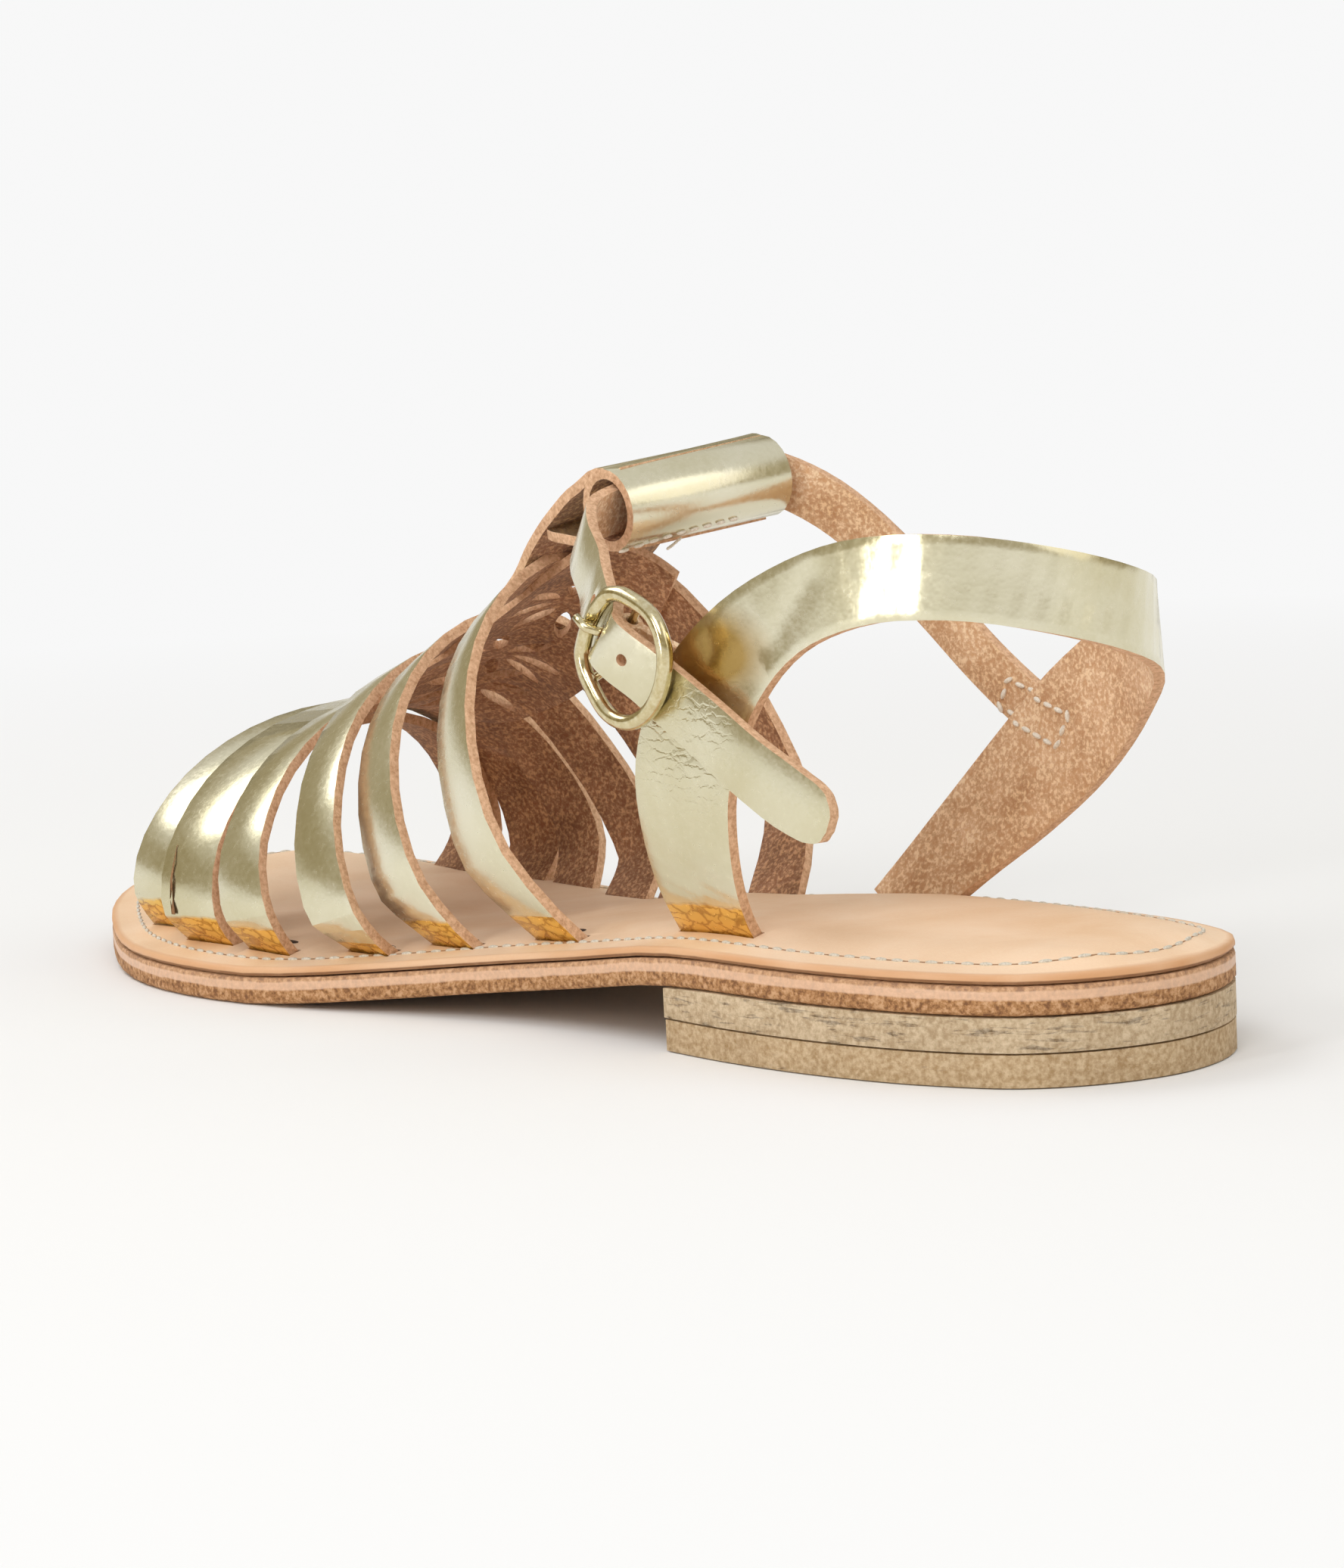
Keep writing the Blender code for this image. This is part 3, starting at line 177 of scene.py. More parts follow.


# thin metallic foil over leather: pale gold, finely wrinkled, with an amber painted reflection of the
# insole at the foot of each strap;
# creaseSpot (mm from the heel end) is where it is creased; the last spot, also in mm from the heel end, is
# where a dark gold reflection is painted into its colour
def foilLeather(name, creaseSpot=None, creaseReachMm=16.0, darkReflectionSpot=None):
    material, tree, shader = newMaterial(name)
    at = addNode(tree, "ShaderNodeTexCoord").outputs["Object"]
    grain = addNode(tree, "ShaderNodeTexVoronoi", links={"Vector": at}, feature="SMOOTH_F1",
                    values={"Scale": 1.0 / (foil["grainMm"] * mm), "Smoothness": 0.35,
                            "Randomness": 1.0}).outputs["Distance"]
    wrinkle = noise(tree, stretched(tree, at, (1.0, 0.5, 0.8)), foil["wrinkleMm"], 2.0, 0.5, 0.4)
    warped = mixColour(tree, 0.0025, at, noise(tree, at, 2.2, 3.0, 0.6), "ADD")
    crease = addNode(tree, "ShaderNodeTexVoronoi", feature="DISTANCE_TO_EDGE",
                     links={"Vector": stretched(tree, warped, (0.42, 0.42, 1.25))},
                     values={"Scale": 1.0 / (foil["creaseMm"] * mm)}).outputs["Distance"]
    crease = ramp(tree, crease, ((0.0, 0.0), (0.14, 1.0)))
    fine = noise(tree, at, 1.0, 4.0, 0.62)
    patch = noise(tree, at, 24.0, 2.0, 0.5, 0.3)
    colour = ramp(tree, patch, ((0.3, foil["deep"]), (0.5, foil["mid"]), (0.7, foil["light"])))
    colour = mixColour(tree, 0.1, colour, ramp(tree, fine, ((0.3, "#B5AA7C"), (0.7, "#FBF8E6"))))
    # painted reflection of the insole: amber up to a ragged level above the insole, darker along the
    # creases
    above = addNode(tree, "ShaderNodeAttribute", attribute_name="aboveSole").outputs["Fac"]
    ragged = addNode(tree, "ShaderNodeMath", operation="MULTIPLY_ADD", values={1: 0.10, 2: -0.05},
                     links={0: noise(tree, at, 4.0, 2.0, 0.5)}).outputs[0]
    level = addNode(tree, "ShaderNodeMath", operation="ADD", links={0: above, 1: ragged}).outputs[0]
    top = foil["insoleReflectionMm"] / 16.0
    insoleReflectionMask = ramp(tree, level, ((top - 0.025, 1.0), (top + 0.02, 0.0)))
    insoleReflection = mixColour(tree, crease, foil["crack"], foil["insoleReflection"])
    colour = mixColour(tree, insoleReflectionMask, colour, insoleReflection)
    # painted reflection: the foil is tinted dark gold around the given spot
    if darkReflectionSpot:
        away = addNode(tree, "ShaderNodeVectorMath", operation="DISTANCE",
                       links={0: stretched(tree, at, (0.62, 0.62, 1.0))},
                       values={1: Vector((0.62, 0.62, 1.0)) * place(*darkReflectionSpot)}).outputs["Value"]
        near = addNode(tree, "ShaderNodeMath", operation="MULTIPLY", links={0: away},
                       values={1: 0.5 / (foil["darkReflectionMm"] * mm)}).outputs[0]
        glow = ramp(tree, near, ((0.24, 0.85), (0.52, 0.0)))
        colour = mixColour(tree, glow, colour, foil["glow"])
    tree.links.new(colour, shader.inputs["Base Color"])
    rough = ramp(tree, fine, ((0.25, foil["rough"] - 0.05), (0.75, foil["rough"] + 0.09)))
    tree.links.new(rough, shader.inputs["Roughness"])
    # the foil is less metallic where the insole's reflection is painted
    tree.links.new(ramp(tree, insoleReflectionMask, ((0.0, foil["metal"]), (1.0, 0.6))), shader.inputs["Metallic"])
    shader.inputs["IOR"].default_value = 1.5
    steps = [(wrinkle, foil["wrinkleDepth"], 0.28), (fine, 0.04, 0.22), (grain, foil["grainDepth"], 0.16)]
    if creaseSpot:
        away = addNode(tree, "ShaderNodeVectorMath", operation="DISTANCE", links={0: at},
                       values={1: place(*creaseSpot)}).outputs["Value"]
        near = addNode(tree, "ShaderNodeMath", operation="MULTIPLY", links={0: away},
                       values={1: 0.5 / (creaseReachMm * mm)}).outputs[0]
        shown = mixColour(tree, ramp(tree, near, ((0.2, 0.0), (0.5, 1.0))), crease, "#FFFFFF")
        steps.append((shown, 0.09, 0.5))
    tree.links.new(bumpChain(tree, steps), shader.inputs["Normal"])
    return material


# flesh side of the straps: brown, granular, without gloss
def suedeSide(name, shades):
    material, tree, shader = newMaterial(name)
    at = addNode(tree, "ShaderNodeTexCoord").outputs["Object"]
    nap = noise(tree, at, shades["napMm"], 2.5, 0.65)
    patch = noise(tree, at, 9.0, 3.0)
    colour = ramp(tree, patch, ((0.3, shades["deep"]), (0.7, shades["light"])))
    speck = ramp(tree, nap, ((0.38, "#3A2A1E"), (0.5, "#808080"), (0.62, "#F0E4D8")))
    tree.links.new(mixColour(tree, 0.75, colour, speck, "SOFT_LIGHT"), shader.inputs["Base Color"])
    shader.inputs["Roughness"].default_value = 0.95
    shader.inputs["Sheen Weight"].default_value = 0.15
    shader.inputs["Sheen Roughness"].default_value = 0.5
    tree.links.new(bumpChain(tree, ((nap, 0.3, 0.7),)), shader.inputs["Normal"])
    return material


# raw cut edge of leather, with fibres along the cut
def cutEdge(name, light, deep):
    material, tree, shader = newMaterial(name)
    at = addNode(tree, "ShaderNodeTexCoord").outputs["Object"]
    fibre = noise(tree, at, rawEdge["fibreMm"], 5.0, 0.75)
    colour = ramp(tree, fibre, ((0.3, deep), (0.62, light)))
    tree.links.new(colour, shader.inputs["Base Color"])
    shader.inputs["Roughness"].default_value = 0.85
    tree.links.new(bumpChain(tree, ((fibre, 0.25, 0.7),)), shader.inputs["Normal"])
    return material


# natural vegetable-tanned insole: pale, faintly blotched, tanned orange at its rim
def insoleTop(name):
    material, tree, shader = newMaterial(name)
    at = addNode(tree, "ShaderNodeTexCoord").outputs["Object"]
    patch = noise(tree, at, 24.0, 4.0, 0.55, 0.5)
    pore = noise(tree, at, insoleLeather["poreMm"], 4.0, 0.7)
    soft = noise(tree, at, 3.5, 4.0, 0.6)
    colour = ramp(tree, patch, ((0.3, insoleLeather["deep"]), (0.7, insoleLeather["light"])))
    pores = ramp(tree, pore, ((0.3, "#B98A62"), (0.7, "#FFF0DC")))
    colour = mixColour(tree, 0.16, colour, pores, "SOFT_LIGHT")
    inward = addNode(tree, "ShaderNodeAttribute", attribute_name="fromEdge").outputs["Fac"]
    rim = ramp(tree, inward, ((0.0, 0.9), (0.05, 0.6), (0.13, 0.0)))
    colour = mixColour(tree, rim, colour, insoleLeather["edge"])
    side = addNode(tree, "ShaderNodeAttribute", attribute_name="sideHeight").outputs["Fac"]
    wobble = addNode(tree, "ShaderNodeMath", operation="MULTIPLY_ADD", values={1: 0.3, 2: -0.15},
                     links={0: soft}).outputs[0]
    side = addNode(tree, "ShaderNodeMath", operation="ADD", links={0: side, 1: wobble}).outputs[0]
    foot = ramp(tree, side, ((0.0, 0.85), (0.16, 0.25), (0.4, 0.0)))
    colour = mixColour(tree, foot, colour, insoleLeather["line"])
    tree.links.new(colour, shader.inputs["Base Color"])
    tree.links.new(ramp(tree, soft, ((0.3, 0.48), (0.7, 0.62))), shader.inputs["Roughness"])
    shader.inputs["IOR"].default_value = 1.45
    normal = bumpChain(tree, ((soft, 0.12, 0.35), (pore, 0.06, 0.4)))
    tree.links.new(normal, shader.inputs["Normal"])
    return material


# cut edge of the outsole: a pale burnished band above granular brown fibres
def soleEdge(name):
    material, tree, shader = newMaterial(name)
    at = addNode(tree, "ShaderNodeTexCoord").outputs["Object"]
    streak = noise(tree, stretched(tree, at, (0.5, 0.5, 1.5)), 3.0, 3.0, 0.6)
    fibre = noise(tree, at, outsoleLeather["grainMm"], 3.0, 0.65)
    brown = ramp(tree, fibre, ((0.36, outsoleLeather["deep"]), (0.5, outsoleLeather["fibre"]),
                               (0.64, outsoleLeather["pale"])))
    height = addNode(tree, "ShaderNodeAttribute", attribute_name="sideHeight").outputs["Fac"]
    ragged = addNode(tree, "ShaderNodeMath", operation="MULTIPLY_ADD",
                     values={1: 0.16, 2: -0.08}, links={0: streak}).outputs[0]
    level = addNode(tree, "ShaderNodeMath", operation="ADD", links={0: height, 1: ragged}).outputs[0]
    band = ramp(tree, level, ((0.5, 0.0), (0.58, 1.0), (0.9, 1.0), (0.98, 0.3)))
    paleBand = mixColour(tree, 0.3, outsoleLeather["band"], brown)
    tree.links.new(mixColour(tree, band, brown, paleBand), shader.inputs["Base Color"])
    tree.links.new(ramp(tree, band, ((0.0, 0.85), (1.0, 0.38))), shader.inputs["Roughness"])
    normal = bumpChain(tree, ((streak, 0.2, 0.5), (fibre, 0.3, 0.6)))
    tree.links.new(normal, shader.inputs["Normal"])
    return material


# sanded stacked-leather heel: grey-beige, with short dark cracks along its layers
def heelStack(name, shades, seed):
    material, tree, shader = newMaterial(name)
    at = addNode(tree, "ShaderNodeTexCoord").outputs["Object"]
    moved = addNode(tree, "ShaderNodeMapping", links={"Vector": at},
                    values={"Location": (seed * 0.11, seed * 0.07, 0.0), "Scale": (0.3, 0.3, 2.2)})
    streak = noise(tree, moved.outputs["Vector"], 1.9, 5.0, 0.7, 0.5)
    patch = noise(tree, at, 9.0, 3.0)
    fibre = noise(tree, at, 0.9, 3.0, 0.65)
    colour = ramp(tree, patch, ((0.3, shades["mid"]), (0.7, shades["light"])))
    crack = ramp(tree, streak, ((shades["streaks"] - 0.06, 1.0), (shades["streaks"] + 0.03, 0.0)))
    colour = mixColour(tree, crack, colour, shades["deep"])
    colour = mixColour(tree, 0.28, colour, ramp(tree, fibre, ((0.35, "#6E5236"), (0.65, "#F4E4CA"))))
    tree.links.new(colour, shader.inputs["Base Color"])
    shader.inputs["Roughness"].default_value = 0.82
    normal = bumpChain(tree, ((streak, 0.3, 0.6), (fibre, 0.2, 0.5)))
    tree.links.new(normal, shader.inputs["Normal"])
    return material


# light gold plating on the buckle and rivet, with faint rubbing
def paleBrass(name):
    material, tree, shader = newMaterial(name)
    at = addNode(tree, "ShaderNodeTexCoord").outputs["Object"]
    rub = noise(tree, at, 1.2, 4.0, 0.65)
    colour = ramp(tree, rub, ((0.3, "#C6B483"), (0.7, brass["colour"])))
    tree.links.new(colour, shader.inputs["Base Color"])
    tree.links.new(ramp(tree, rub, ((0.3, brass["rough"] - 0.05), (0.75, brass["rough"] + 0.12))),
                   shader.inputs["Roughness"])
    shader.inputs["Metallic"].default_value = 1.0
    tree.links.new(bumpChain(tree, ((rub, 0.03, 0.3),)), shader.inputs["Normal"])
    return material


# twisted sewing thread
def waxedThread(name, colour):
    material, tree, shader = newMaterial(name)
    at = addNode(tree, "ShaderNodeTexCoord").outputs["Object"]
    ply = noise(tree, at, 0.3, 2.0)
    tree.links.new(mixColour(tree, 0.4, colour, ramp(tree, ply, ((0.3, "#8E8068"), (0.7, "#F2ECDD")))),
                   shader.inputs["Base Color"])
    shader.inputs["Roughness"].default_value = 0.7
    tree.links.new(bumpChain(tree, ((ply, 0.08, 0.6),)), shader.inputs["Normal"])
    return material


paints = {
    "foilUpper": foilLeather("gold_foil_leather_upper"),
    # the heel strap has a dark gold reflection painted in behind the buckle
    "foilHeel": foilLeather("gold_foil_leather_heel_strap", (66.0, 34.5, 46.0),
                            darkReflectionSpot=(61.0, 33.0, 61.0)),
    "foilAnkle": foilLeather("gold_foil_leather_ankle_strap", (60.0, 40.0, 52.0), 10.0),
    "suede": suedeSide("suede_flesh_side", suede),
    "shadedSuede": suedeSide("painted_shade_flesh_side", shadedSuede),
    "cutEdge": cutEdge("cut_leather_edge", rawEdge["light"], rawEdge["deep"]),
    "insole": insoleTop("natural_insole_leather"),
    "soleEdge": soleEdge("outsole_cut_edge"),
    "heelUpper": heelStack("stacked_heel_leather_upper", heelUpper, 1.0),
    "heelLower": heelStack("stacked_heel_leather_lower", heelLower, 4.0),
    "brass": paleBrass("pale_gold_plating"),
    "insoleThread": waxedThread("insole_thread", thread["insole"]),
    "strapThread": waxedThread("strap_thread", thread["strap"]),
    "channel": cutEdge("pressed_stitch_channel", thread["channel"], thread["channelDeep"]),
    # the slit mark has the brown of a cut edge, darkened with painted shade of the gap
    "slit": cutEdge("slit_edge_and_painted_shade", "#9C7048", "#5E3E24"),
    # the slot marks are dark with painted shade inside the openings
    "slot": cutEdge("painted_shade_insole_slot", "#4A3020", "#1E130B"),
}
print("materials:", len(paints))


# merged working copy of a CAD node's loose triangles
def nodeMesh(name):
    work = bmesh.new()
    work.from_mesh(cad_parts[name].data)
    bmesh.ops.remove_doubles(work, verts=work.verts, dist=0.000004)
    bmesh.ops.recalc_face_normals(work, faces=work.faces)
    return work


def treeOf(name):
    work = nodeMesh(name)
    tree = BVHTree.FromBMesh(work)
    work.free()
    return tree


insoleTree = treeOf("insole")


def heightAboveSole(point):
    hit = insoleTree.ray_cast(point + Vector((0.0, 0.0, 0.2)), Vector((0.0, 0.0, -1.0)))
    return point.z - hit[0].z if hit[0] else 1.0


# object from a working mesh, its hard edges rounded, standing for CAD nodes
def finishPiece(name, work, nodes, materials, bevelMm, sharp=32.0):
    mesh = bpy.data.meshes.new(name)
    work.to_mesh(mesh)
    work.free()
    piece = bpy.data.objects.new(name, mesh)
    bpy.context.scene.collection.objects.link(piece)
    for material in materials:
        mesh.materials.append(material)
    if bevelMm:
        modifier = piece.modifiers.new("rounded", "BEVEL")
        modifier.width = bevelMm * mm
        modifier.segments = 2
        modifier.limit_method = "ANGLE"
        modifier.angle_limit = math.radians(sharp)
        modifier.harden_normals = False
        graph = bpy.context.evaluated_depsgraph_get()
        mesh = bpy.data.meshes.new_from_object(piece.evaluated_get(graph))
        piece.modifiers.clear()
        piece.data = mesh
    for face in piece.data.polygons:
        face.use_smooth = True
    piece.data.set_sharp_from_angle(angle=math.radians(48.0))
    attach(piece, "root")
    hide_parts(*nodes)
    return piece


# outer, cut and inner faces of a leather piece get material 0, 1 and 2.
# middle gives the point that a face should turn its back on; beyond sheetFrom (x, in
# metres) a face that stands across that direction is the wall of a cut-out
def paintSides(work, middle, thickMm, sheetFrom=9.0, loop=False):
    tree = BVHTree.FromBMesh(work)
    a, b = place(*loopEnds[0]), place(*loopEnds[1])
    axis = (b - a).normalized()
    for face in work.faces:
        centre = face.calc_center_median()
        hit = tree.ray_cast(centre - face.normal * 0.00001, -face.normal)
        through = hit[3] / mm if hit[0] else 99.0
        facing = (centre - middle(centre)).normalized().dot(face.normal)
        face.material_index = 2 if facing < 0.0 else 0
        if (through > thickMm and abs(facing) < 0.8) or (centre.x > sheetFrom and abs(facing) < 0.5):
            face.material_index = 1
        if loop:
            along = (centre - a).dot(axis)
            out = (centre - a) - axis * along
            if out.length < 6.9 * mm and -2.0 * mm < along < (b - a).length + 2.0 * mm:
                turned = out.normalized().dot(face.normal)
                face.material_index = 1 if abs(turned) < 0.5 else (0 if turned > 0.0 else 2)


# height above the insole, 1 at 16 mm, for the painted amber reflection of the insole at the foot of each
# strap
def markHeight(work):
    layer = work.verts.layers.float.new("aboveSole")
    for v in work.verts:
        v[layer] = max(heightAboveSole(v.co) / (16.0 * mm), 0.0)


# splits long edges so that creases can be pressed into the leather
def refine(work, longestMm, passes=3):
    for _ in range(passes):
        long = [e for e in work.edges if e.calc_length() > longestMm * mm]
        if not long:
            break
        bmesh.ops.subdivide_edges(work, edges=long, cuts=1, use_grid_fill=True)
        bmesh.ops.triangulate(work, faces=[f for f in work.faces if len(f.verts) > 4])


# soft troughs and ridges: (from, to, half width mm, depth mm), pushed along the normal
def press(work, creases):
    work.normal_update()
    moves = []
    for v in work.verts:
        total = 0.0
        for start, end, half, depth in creases:
            a, b = place(*start), place(*end)
            along = b - a
            t = min(max((v.co - a).dot(along) / along.length_squared, 0.0), 1.0)
            d = (v.co - (a + along * t)).length / mm
            if d < half * 2.5:
                total += depth * math.exp(-(d / half) ** 2)
        moves.append((v, total))
    for v, total in moves:
        if total:
            side = v.co - place(60.0, 0.0, v.co.z / mm)
            side.z = 0.0
            v.co += side.normalized() * total * mm


# upper
work = nodeMesh("upper")
paintSides(work, lambda c: Vector((c.x - 0.5 * max(c.z - 0.03, 0.0), -0.0055, 0.020)), 3.4,
           sheetFrom=0.004, loop=True)
markHeight(work)
# its flesh side gets the darker leather colour that paints in the shade under the cage
finishPiece("upper_leather", work, ["upper"],
            [paints["foilUpper"], paints["cutEdge"], paints["shadedSuede"]], 0.22)

# heel strap, wrinkled where its outer leg turns back into the band
heelCreases = (
    ((66.0, 34.5, 50.0), (52.0, 32.0, 58.0), 1.6, -0.5),
    ((63.0, 34.5, 54.5), (50.0, 31.5, 62.0), 1.5, -0.45),
    ((67.0, 34.8, 46.5), (58.0, 34.0, 50.5), 1.5, -0.4),
    ((64.5, 34.8, 52.2), (51.0, 32.0, 60.0), 1.3, 0.35),
    ((48.0, 31.0, 64.0), (42.0, 29.5, 73.0), 2.0, -0.35),
    ((30.0, 26.0, 67.0), (27.0, 24.5, 77.0), 2.2, -0.3),
    ((70.0, 30.0, 26.0), (61.0, 34.0, 36.0), 2.0, -0.25),
)
work = nodeMesh("heel_strap")
refine(work, 2.6)
press(work, heelCreases)
paintSides(work, lambda c: Vector((max(c.x, -0.092), 0.0, c.z)), 3.0)
markHeight(work)
finishPiece("heel_strap_leather", work, ["heel_strap"],
            [paints["foilHeel"], paints["cutEdge"], paints["suede"]], 0.22)

# ankle strap
work = nodeMesh("ankle_strap")
paintSides(work, lambda c: Vector((min(c.x, -0.060), 0.0, min(c.z, 0.070))), 2.6)
markHeight(work)
finishPiece("ankle_strap_leather", work, ["ankle_strap"],
            [paints["foilAnkle"], paints["cutEdge"], paints["suede"]], 0.22)

# tab and metal
work = nodeMesh("buckle_tab")
finishPiece("buckle_tab_leather", work, ["buckle_tab"], [paints["suede"]], 0.12)
for node, slotName in (("buckle_frame", "buckle_metal"), ("buckle_prong", "prong_metal"),
                       ("rivet", "rivet_metal")):
    work = nodeMesh(node)
    finishPiece(node + "_plated", work, [node], [paints["brass"]], 0.0)
print("leather and metal pieces done")


# points round the sole outline, in mm
def edgeLoop():
    raw = [Vector((x, y)) for x, y in zip(outline["x"], outline["outer"])]
    raw += [Vector((x, y)) for x, y in list(zip(outline["x"], outline["inner"]))[-2:0:-1]]
    fine = []
    n = len(raw)
    for i in range(n):
        p = [raw[(i + k) % n] for k in (-1, 0, 1, 2)]
        d = [max((p[k + 1] - p[k]).length, 1e-6) for k in range(3)]
        before, here, after = [(p[k + 1] - p[k]) / d[k] for k in range(3)]
        start = (before * d[1] + here * d[0]) / (d[0] + d[1]) * d[1]
        end = (here * d[2] + after * d[1]) / (d[1] + d[2]) * d[1]
        for k in range(14):
            t = k / 14.0
            fine.append(p[1] * (2 * t**3 - 3 * t**2 + 1) + start * (t**3 - 2 * t**2 + t)
                        + p[2] * (3 * t**2 - 2 * t**3) + end * (t**3 - t**2))
    return fine


soleLoop = edgeLoop()


def insetLoop(distance):
    out = []
    n = len(soleLoop)
    for i in range(n):
        along = (soleLoop[(i + 1) % n] - soleLoop[i - 1]).normalized()
        out.append(soleLoop[i] + Vector((along.y, -along.x)) * distance)
    return out


# distance in from the outline in mm
def fromEdge(x, y):
    p = Vector((x, y))
    return min((p - q).length for q in soleLoop)


# sole
work = nodeMesh("insole")
layer = work.verts.layers.float.new("fromEdge")
for v in work.verts:
    p = v.co / mm - heelEnd
    v[layer] = min(fromEdge(p.x, p.y) / 10.0, 1.0)
layer = work.verts.layers.float.new("sideHeight")
work.normal_update()
for v in work.verts:
    v[layer] = 0.0 if v.normal.z < -0.2 else 1.0
finishPiece("insole_leather_top", work, ["insole"], [paints["insole"]], 0.1, 50.0)

work = nodeMesh("outsole")
layer = work.verts.layers.float.new("sideHeight")
work.normal_update()
for v in work.verts:
    v[layer] = 1.0 if v.normal.z > 0.0 else 0.0
finishPiece("outsole_leather", work, ["outsole"], [paints["soleEdge"]], 0.0)
for node, slotName, paint in (("heel_lift_upper", "heel_leather", "heelUpper"),
                              ("heel_lift_lower", "heel_leather_low", "heelLower")):
    work = nodeMesh(node)
    finishPiece(node + "_stack", work, [node], [paints[paint]], 0.15)
print("sole pieces done")


# geometry Nodes: stitches laid at a pitch along a curve
def stitchTree():
    tree = bpy.data.node_groups.new("stitchRow", "GeometryNodeTree")
    face = tree.interface
    face.new_socket("Geometry", in_out="INPUT", socket_type="NodeSocketGeometry")
    for name in ("Pitch", "Length", "Thickness"):
        face.new_socket(name, in_out="INPUT", socket_type="NodeSocketFloat")
    face.new_socket("Thread", in_out="INPUT", socket_type="NodeSocketMaterial")
    face.new_socket("Geometry", in_out="OUTPUT", socket_type="NodeSocketGeometry")
    start = addNode(tree, "NodeGroupInput").outputs
    points = addNode(tree, "GeometryNodeCurveToPoints", mode="LENGTH",
                     links={"Curve": start["Geometry"], "Length": start["Pitch"]})
    turn = addNode(tree, "FunctionNodeAlignRotationToVector", axis="Z",
                   links={"Vector": points.outputs["Tangent"]})
    bead = addNode(tree, "GeometryNodeMeshUVSphere", values={"Segments": 8, "Rings": 6, "Radius": 0.5})
    size = addNode(tree, "ShaderNodeCombineXYZ", links={"X": start["Thickness"], "Y": start["Thickness"],
                                                        "Z": start["Length"]})
    laid = addNode(tree, "GeometryNodeInstanceOnPoints",
                   links={"Points": points.outputs["Points"], "Instance": bead.outputs["Mesh"],
                          "Rotation": turn.outputs["Rotation"], "Scale": size.outputs["Vector"]})
    real = addNode(tree, "GeometryNodeRealizeInstances", links={"Geometry": laid.outputs["Instances"]})
    painted = addNode(tree, "GeometryNodeSetMaterial",
                      links={"Geometry": real.outputs["Geometry"], "Material": start["Thread"]})
    addNode(tree, "NodeGroupOutput", links={"Geometry": painted.outputs["Geometry"]})
    return tree


stitches = stitchTree()


# poly line through points, for a thread or a channel to follow
def pathThrough(name, points, closed):
    curve = bpy.data.curves.new(name + "_path", "CURVE")
    curve.dimensions = "3D"
    line = curve.splines.new("POLY")
    line.points.add(len(points) - 1)
    for point, p in zip(line.points, points):
        point.co = (*p, 1.0)
    line.use_cyclic_u = closed
    path = bpy.data.objects.new(name + "_path", curve)
    bpy.context.scene.collection.objects.link(path)
    return path


# mesh that a path gives, once the path is no longer needed
def meshFrom(path):
    graph = bpy.context.evaluated_depsgraph_get()
    mesh = bpy.data.meshes.new_from_object(path.evaluated_get(graph))
    curve = path.data
    bpy.data.objects.remove(path, do_unlink=True)
    bpy.data.curves.remove(curve)
    return mesh


# small piece laid on the leather
def layPiece(name, mesh, material):
    mesh.materials.clear()
    mesh.materials.append(material)
    piece = bpy.data.objects.new(name, mesh)
    bpy.context.scene.collection.objects.link(piece)
    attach(piece, "root")


def sewRow(name, points, stitch, material, closed=False):
    pitch, long, thick = stitch
    path = pathThrough(name, points, closed)
    modifier = path.modifiers.new("sew", "NODES")
    modifier.node_group = stitches
    wanted = {"Pitch": pitch * mm, "Length": long * mm, "Thickness": thick * mm, "Thread": material}
    for socket in stitches.interface.items_tree:
        if socket.in_out == "INPUT" and socket.name in wanted:
            modifier[socket.identifier] = wanted[socket.name]
    mesh = meshFrom(path)
    for face in mesh.polygons:
        face.use_smooth = True
    layPiece(name, mesh, material)


def onInsole(x, y, lift=0.0):
    p = place(x, y, 0.0)
    hit = insoleTree.ray_cast(Vector((p.x, p.y, 0.2)), Vector((0.0, 0.0, -1.0)))
    z = hit[0].z if hit[0] else 0.01
    return Vector((p.x, p.y, z + lift * mm))


# dark line pressed into the leather by the thread
def pressChannel(name, points, material):
    path = pathThrough(name, points, True)
    path.data.bevel_depth = thread["channelMm"] / 2.0 * mm
    path.data.bevel_resolution = 0
    layPiece(name, meshFrom(path), material)


soleRow = insetLoop(thread["insetMm"])
pressChannel("insole_channel", [onInsole(p.x, p.y, -thread["sunkMm"]) for p in soleRow], paints["channel"])
sewRow("insole_stitching", [onInsole(p.x, p.y, 0.02) for p in soleRow], thread["sole"],
       paints["insoleThread"], closed=True)

# seams of the straps, in mm from the heel end; the leg's corners are x and z on its inner face
legSeam = ((64.3, 50.3), (48.3, 46.1), (51.1, 41.0), (66.8, 46.0), (64.3, 50.3))
flapSeam = ((104.2, 13.0, 73.1), (103.0, 9.9, 73.9), (102.3, 7.0, 74.5), (101.8, 3.5, 75.1),
            (101.4, -1.0, 75.7), (100.9, -7.0, 76.4))
looseEnds = ((103.6, 2.2, 73.9), (104.4, 2.8, 73.1), (103.9, 4.2, 72.7))
legTrees = [treeOf("heel_strap"), treeOf("ankle_strap")]


def onLeg(x, z):
    start = place(x, -8.0, z)
    hits = [tree.ray_cast(start, Vector((0.0, -1.0, 0.0))) for tree in legTrees]
    hits = [hit[0] for hit in hits if hit[0]]
    top = max(hits, key=lambda h: h.y) if hits else place(x, -28.0, z)
    return top + Vector((0.0, 0.12 * mm, 0.0))


legRow = []
for (x0, z0), (x1, z1) in zip(legSeam, legSeam[1:]):
    legRow += [onLeg(x0 + (x1 - x0) * k / 8.0, z0 + (z1 - z0) * k / 8.0) for k in range(8)]
sewRow("leg_stitching", legRow, thread["leg"], paints["strapThread"], closed=True)
for name, points, stitch in (("flap_stitching", flapSeam, "flap"), ("thread_ends", looseEnds, "loose")):
    sewRow(name, [place(*p) for p in points], thread[stitch], paints["strapThread"])


# flat mark of a few corners lying just off the leather
def mark(name, corners, material):
    work = bmesh.new()
    work.faces.new([work.verts.new(p) for p in corners])
    bmesh.ops.triangulate(work, faces=work.faces)
    mesh = bpy.data.meshes.new(name)
    work.to_mesh(mesh)
    work.free()
    layPiece(name, mesh, material)
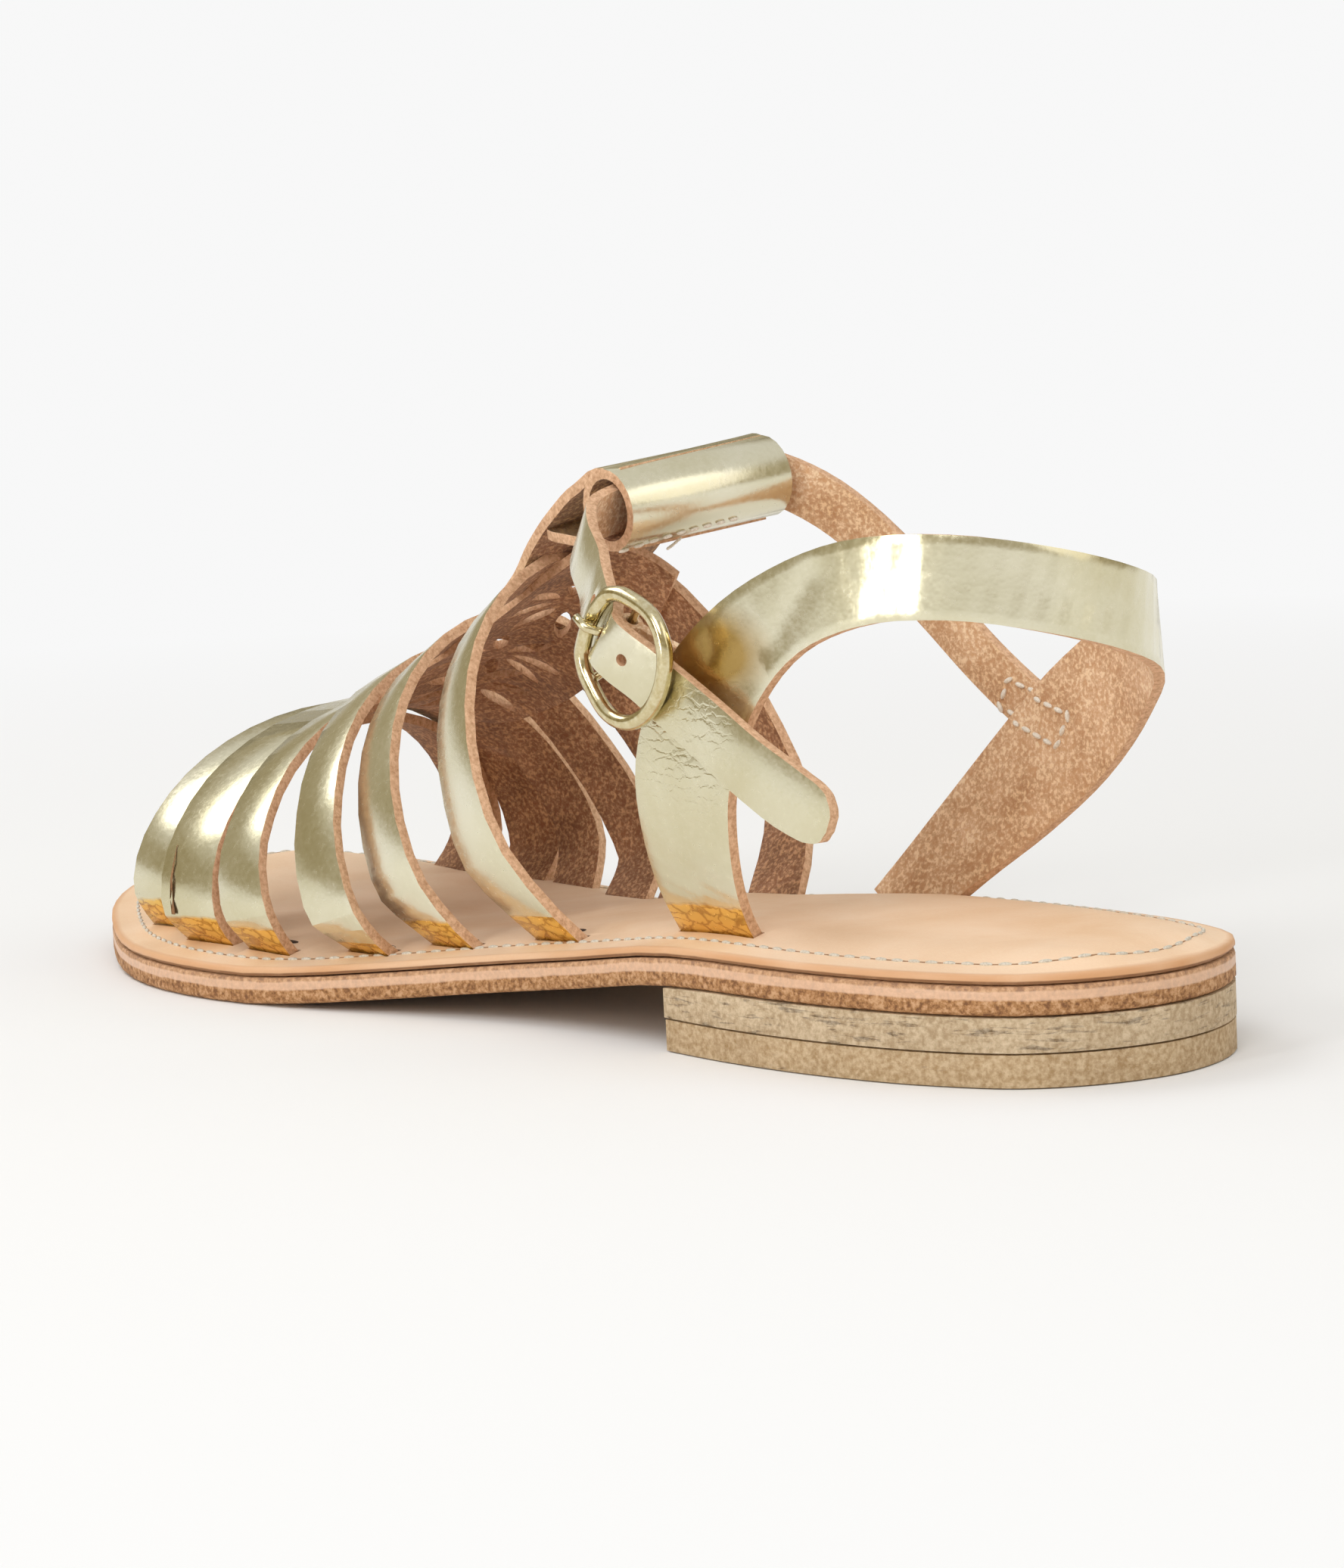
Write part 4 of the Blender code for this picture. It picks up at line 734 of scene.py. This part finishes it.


# flat marks standing for openings: the slit that parts the toe band's outer end, in the brown of a cut
# edge darkened with painted shade, and the slots open behind the strap ends, dark with painted shade
slit = ((191.1, 40.5, 23.6, 0.15), (190.3, 41.95, 20.9, 0.35), (189.8, 43.05, 18.1, 0.6),
        (189.4, 43.5, 15.2, 0.85), (189.3, 43.35, 12.4, 1.1))
mark("toe_band_slit", [place(x - w / 2.0, y, z) for x, y, z, w in slit]
     + [place(x + w / 2.0, y, z) for x, y, z, w in reversed(slit)], paints["slit"])
# each slot is a flat ellipse of painted shade lying on the insole
slotPlaces = ((171.0, 33.4), (147.0, 31.5), (131.2, 26.7), (110.5, 21.4))
slotHalf = (2.6, 0.9)
for number, (x, y) in enumerate(slotPlaces):
    turns = [math.tau * k / 16 for k in range(16)]
    ring = [(x + slotHalf[0] * math.cos(a), y + slotHalf[1] * math.sin(a)) for a in turns]
    mark("insole_slot_%d" % (number + 1), [onInsole(u, v, 0.05) for u, v in ring], paints["slot"])
print("stitching done")


def makeCamera():
    yaw, pitch, roll = (math.radians(view[k]) for k in ("yaw", "pitch", "roll"))
    ahead = Vector((-math.sin(yaw) * math.cos(pitch), math.cos(yaw) * math.cos(pitch), math.sin(pitch)))
    right = Vector((math.cos(yaw), math.sin(yaw), 0.0))
    up = right.cross(ahead)
    right, up = (right * math.cos(roll) + up * math.sin(roll),
                 up * math.cos(roll) - right * math.sin(roll))
    ahead = (ahead + right * view["aimAt"][0] + up * view["aimAt"][1]).normalized()
    right = (right - ahead * right.dot(ahead)).normalized()
    up = right.cross(ahead)
    data = bpy.data.cameras.new("camera")
    data.sensor_fit = "VERTICAL"
    data.sensor_height = 24.0
    data.lens = view["lens"]
    data.clip_start = 0.05
    data.clip_end = 60.0
    camera = bpy.data.objects.new("camera", data)
    turn = Matrix((right, up, -ahead)).transposed().to_4x4()
    camera.matrix_world = Matrix.Translation(place(*view["eye"])) @ turn
    bpy.context.scene.collection.objects.link(camera)
    bpy.context.scene.camera = camera


# flat pale floor that fades into the backdrop far from the shoe
def makeFloor():
    work = bmesh.new()
    bmesh.ops.create_circle(work, cap_ends=True, radius=floor["radius"], segments=64)
    mesh = bpy.data.meshes.new("floor")
    work.to_mesh(mesh)
    work.free()
    ground = bpy.data.objects.new("floor", mesh)
    ground.location.z = -floor["below"]
    material, tree, shader = newMaterial("pale_paper_floor")
    shader.inputs["Base Color"].default_value = linear(floor["colour"])
    shader.inputs["Roughness"].default_value = 0.95
    shader.inputs["Specular IOR Level"].default_value = 0.1
    at = addNode(tree, "ShaderNodeTexCoord").outputs["Object"]
    away = addNode(tree, "ShaderNodeVectorMath", operation="LENGTH", links={0: at}).outputs["Value"]
    share = addNode(tree, "ShaderNodeMath", operation="MULTIPLY", values={1: 0.25}, links={0: away})
    far = ramp(tree, share.outputs[0], ((floor["fadeFrom"] / 4.0, 0.0), (floor["fadeTo"] / 4.0, 1.0)))
    glow = addNode(tree, "ShaderNodeEmission",
                   values={"Color": linear(light["horizon"]), "Strength": light["skyStrength"]})
    mix = addNode(tree, "ShaderNodeMixShader",
                  links={0: far, 1: shader.outputs[0], 2: glow.outputs[0]})
    tree.links.new(mix.outputs[0], tree.nodes["Material Output"].inputs["Surface"])
    mesh.materials.append(material)
    bpy.context.scene.collection.objects.link(ground)


def makeLights():
    for name in ("key", "fill", "back", "strip"):
        spec = light[name]
        data = bpy.data.lights.new(name, "AREA")
        data.shape = "RECTANGLE" if "tall" in spec else "DISK"
        data.size = spec["size"]
        data.size_y = spec.get("tall", spec["size"])
        data.energy = spec["power"]
        data.color = linear(spec["colour"])[:3]
        lamp = bpy.data.objects.new(name, data)
        lamp.location = spec["place"]
        lamp.rotation_euler = (-Vector(spec["place"])).to_track_quat("-Z", "Y").to_euler()
        bpy.context.scene.collection.objects.link(lamp)
    world = bpy.data.worlds.new("studio")
    world.use_nodes = True
    tree = world.node_tree
    at = addNode(tree, "ShaderNodeTexCoord").outputs["Generated"]
    up = addNode(tree, "ShaderNodeSeparateXYZ", links={0: at}).outputs["Z"]
    sky = ramp(tree, up, ((0.04, light["horizon"]), (0.13, light["band"]), (0.4, light["band"]),
                          (0.6, light["zenith"])))
    tree.links.new(sky, tree.nodes["Background"].inputs["Color"])
    tree.nodes["Background"].inputs["Strength"].default_value = light["skyStrength"]
    bpy.context.scene.world = world
    bpy.context.scene.view_settings.view_transform = "Standard"


makeCamera()
makeFloor()
makeLights()
print("camera, floor and lights done")
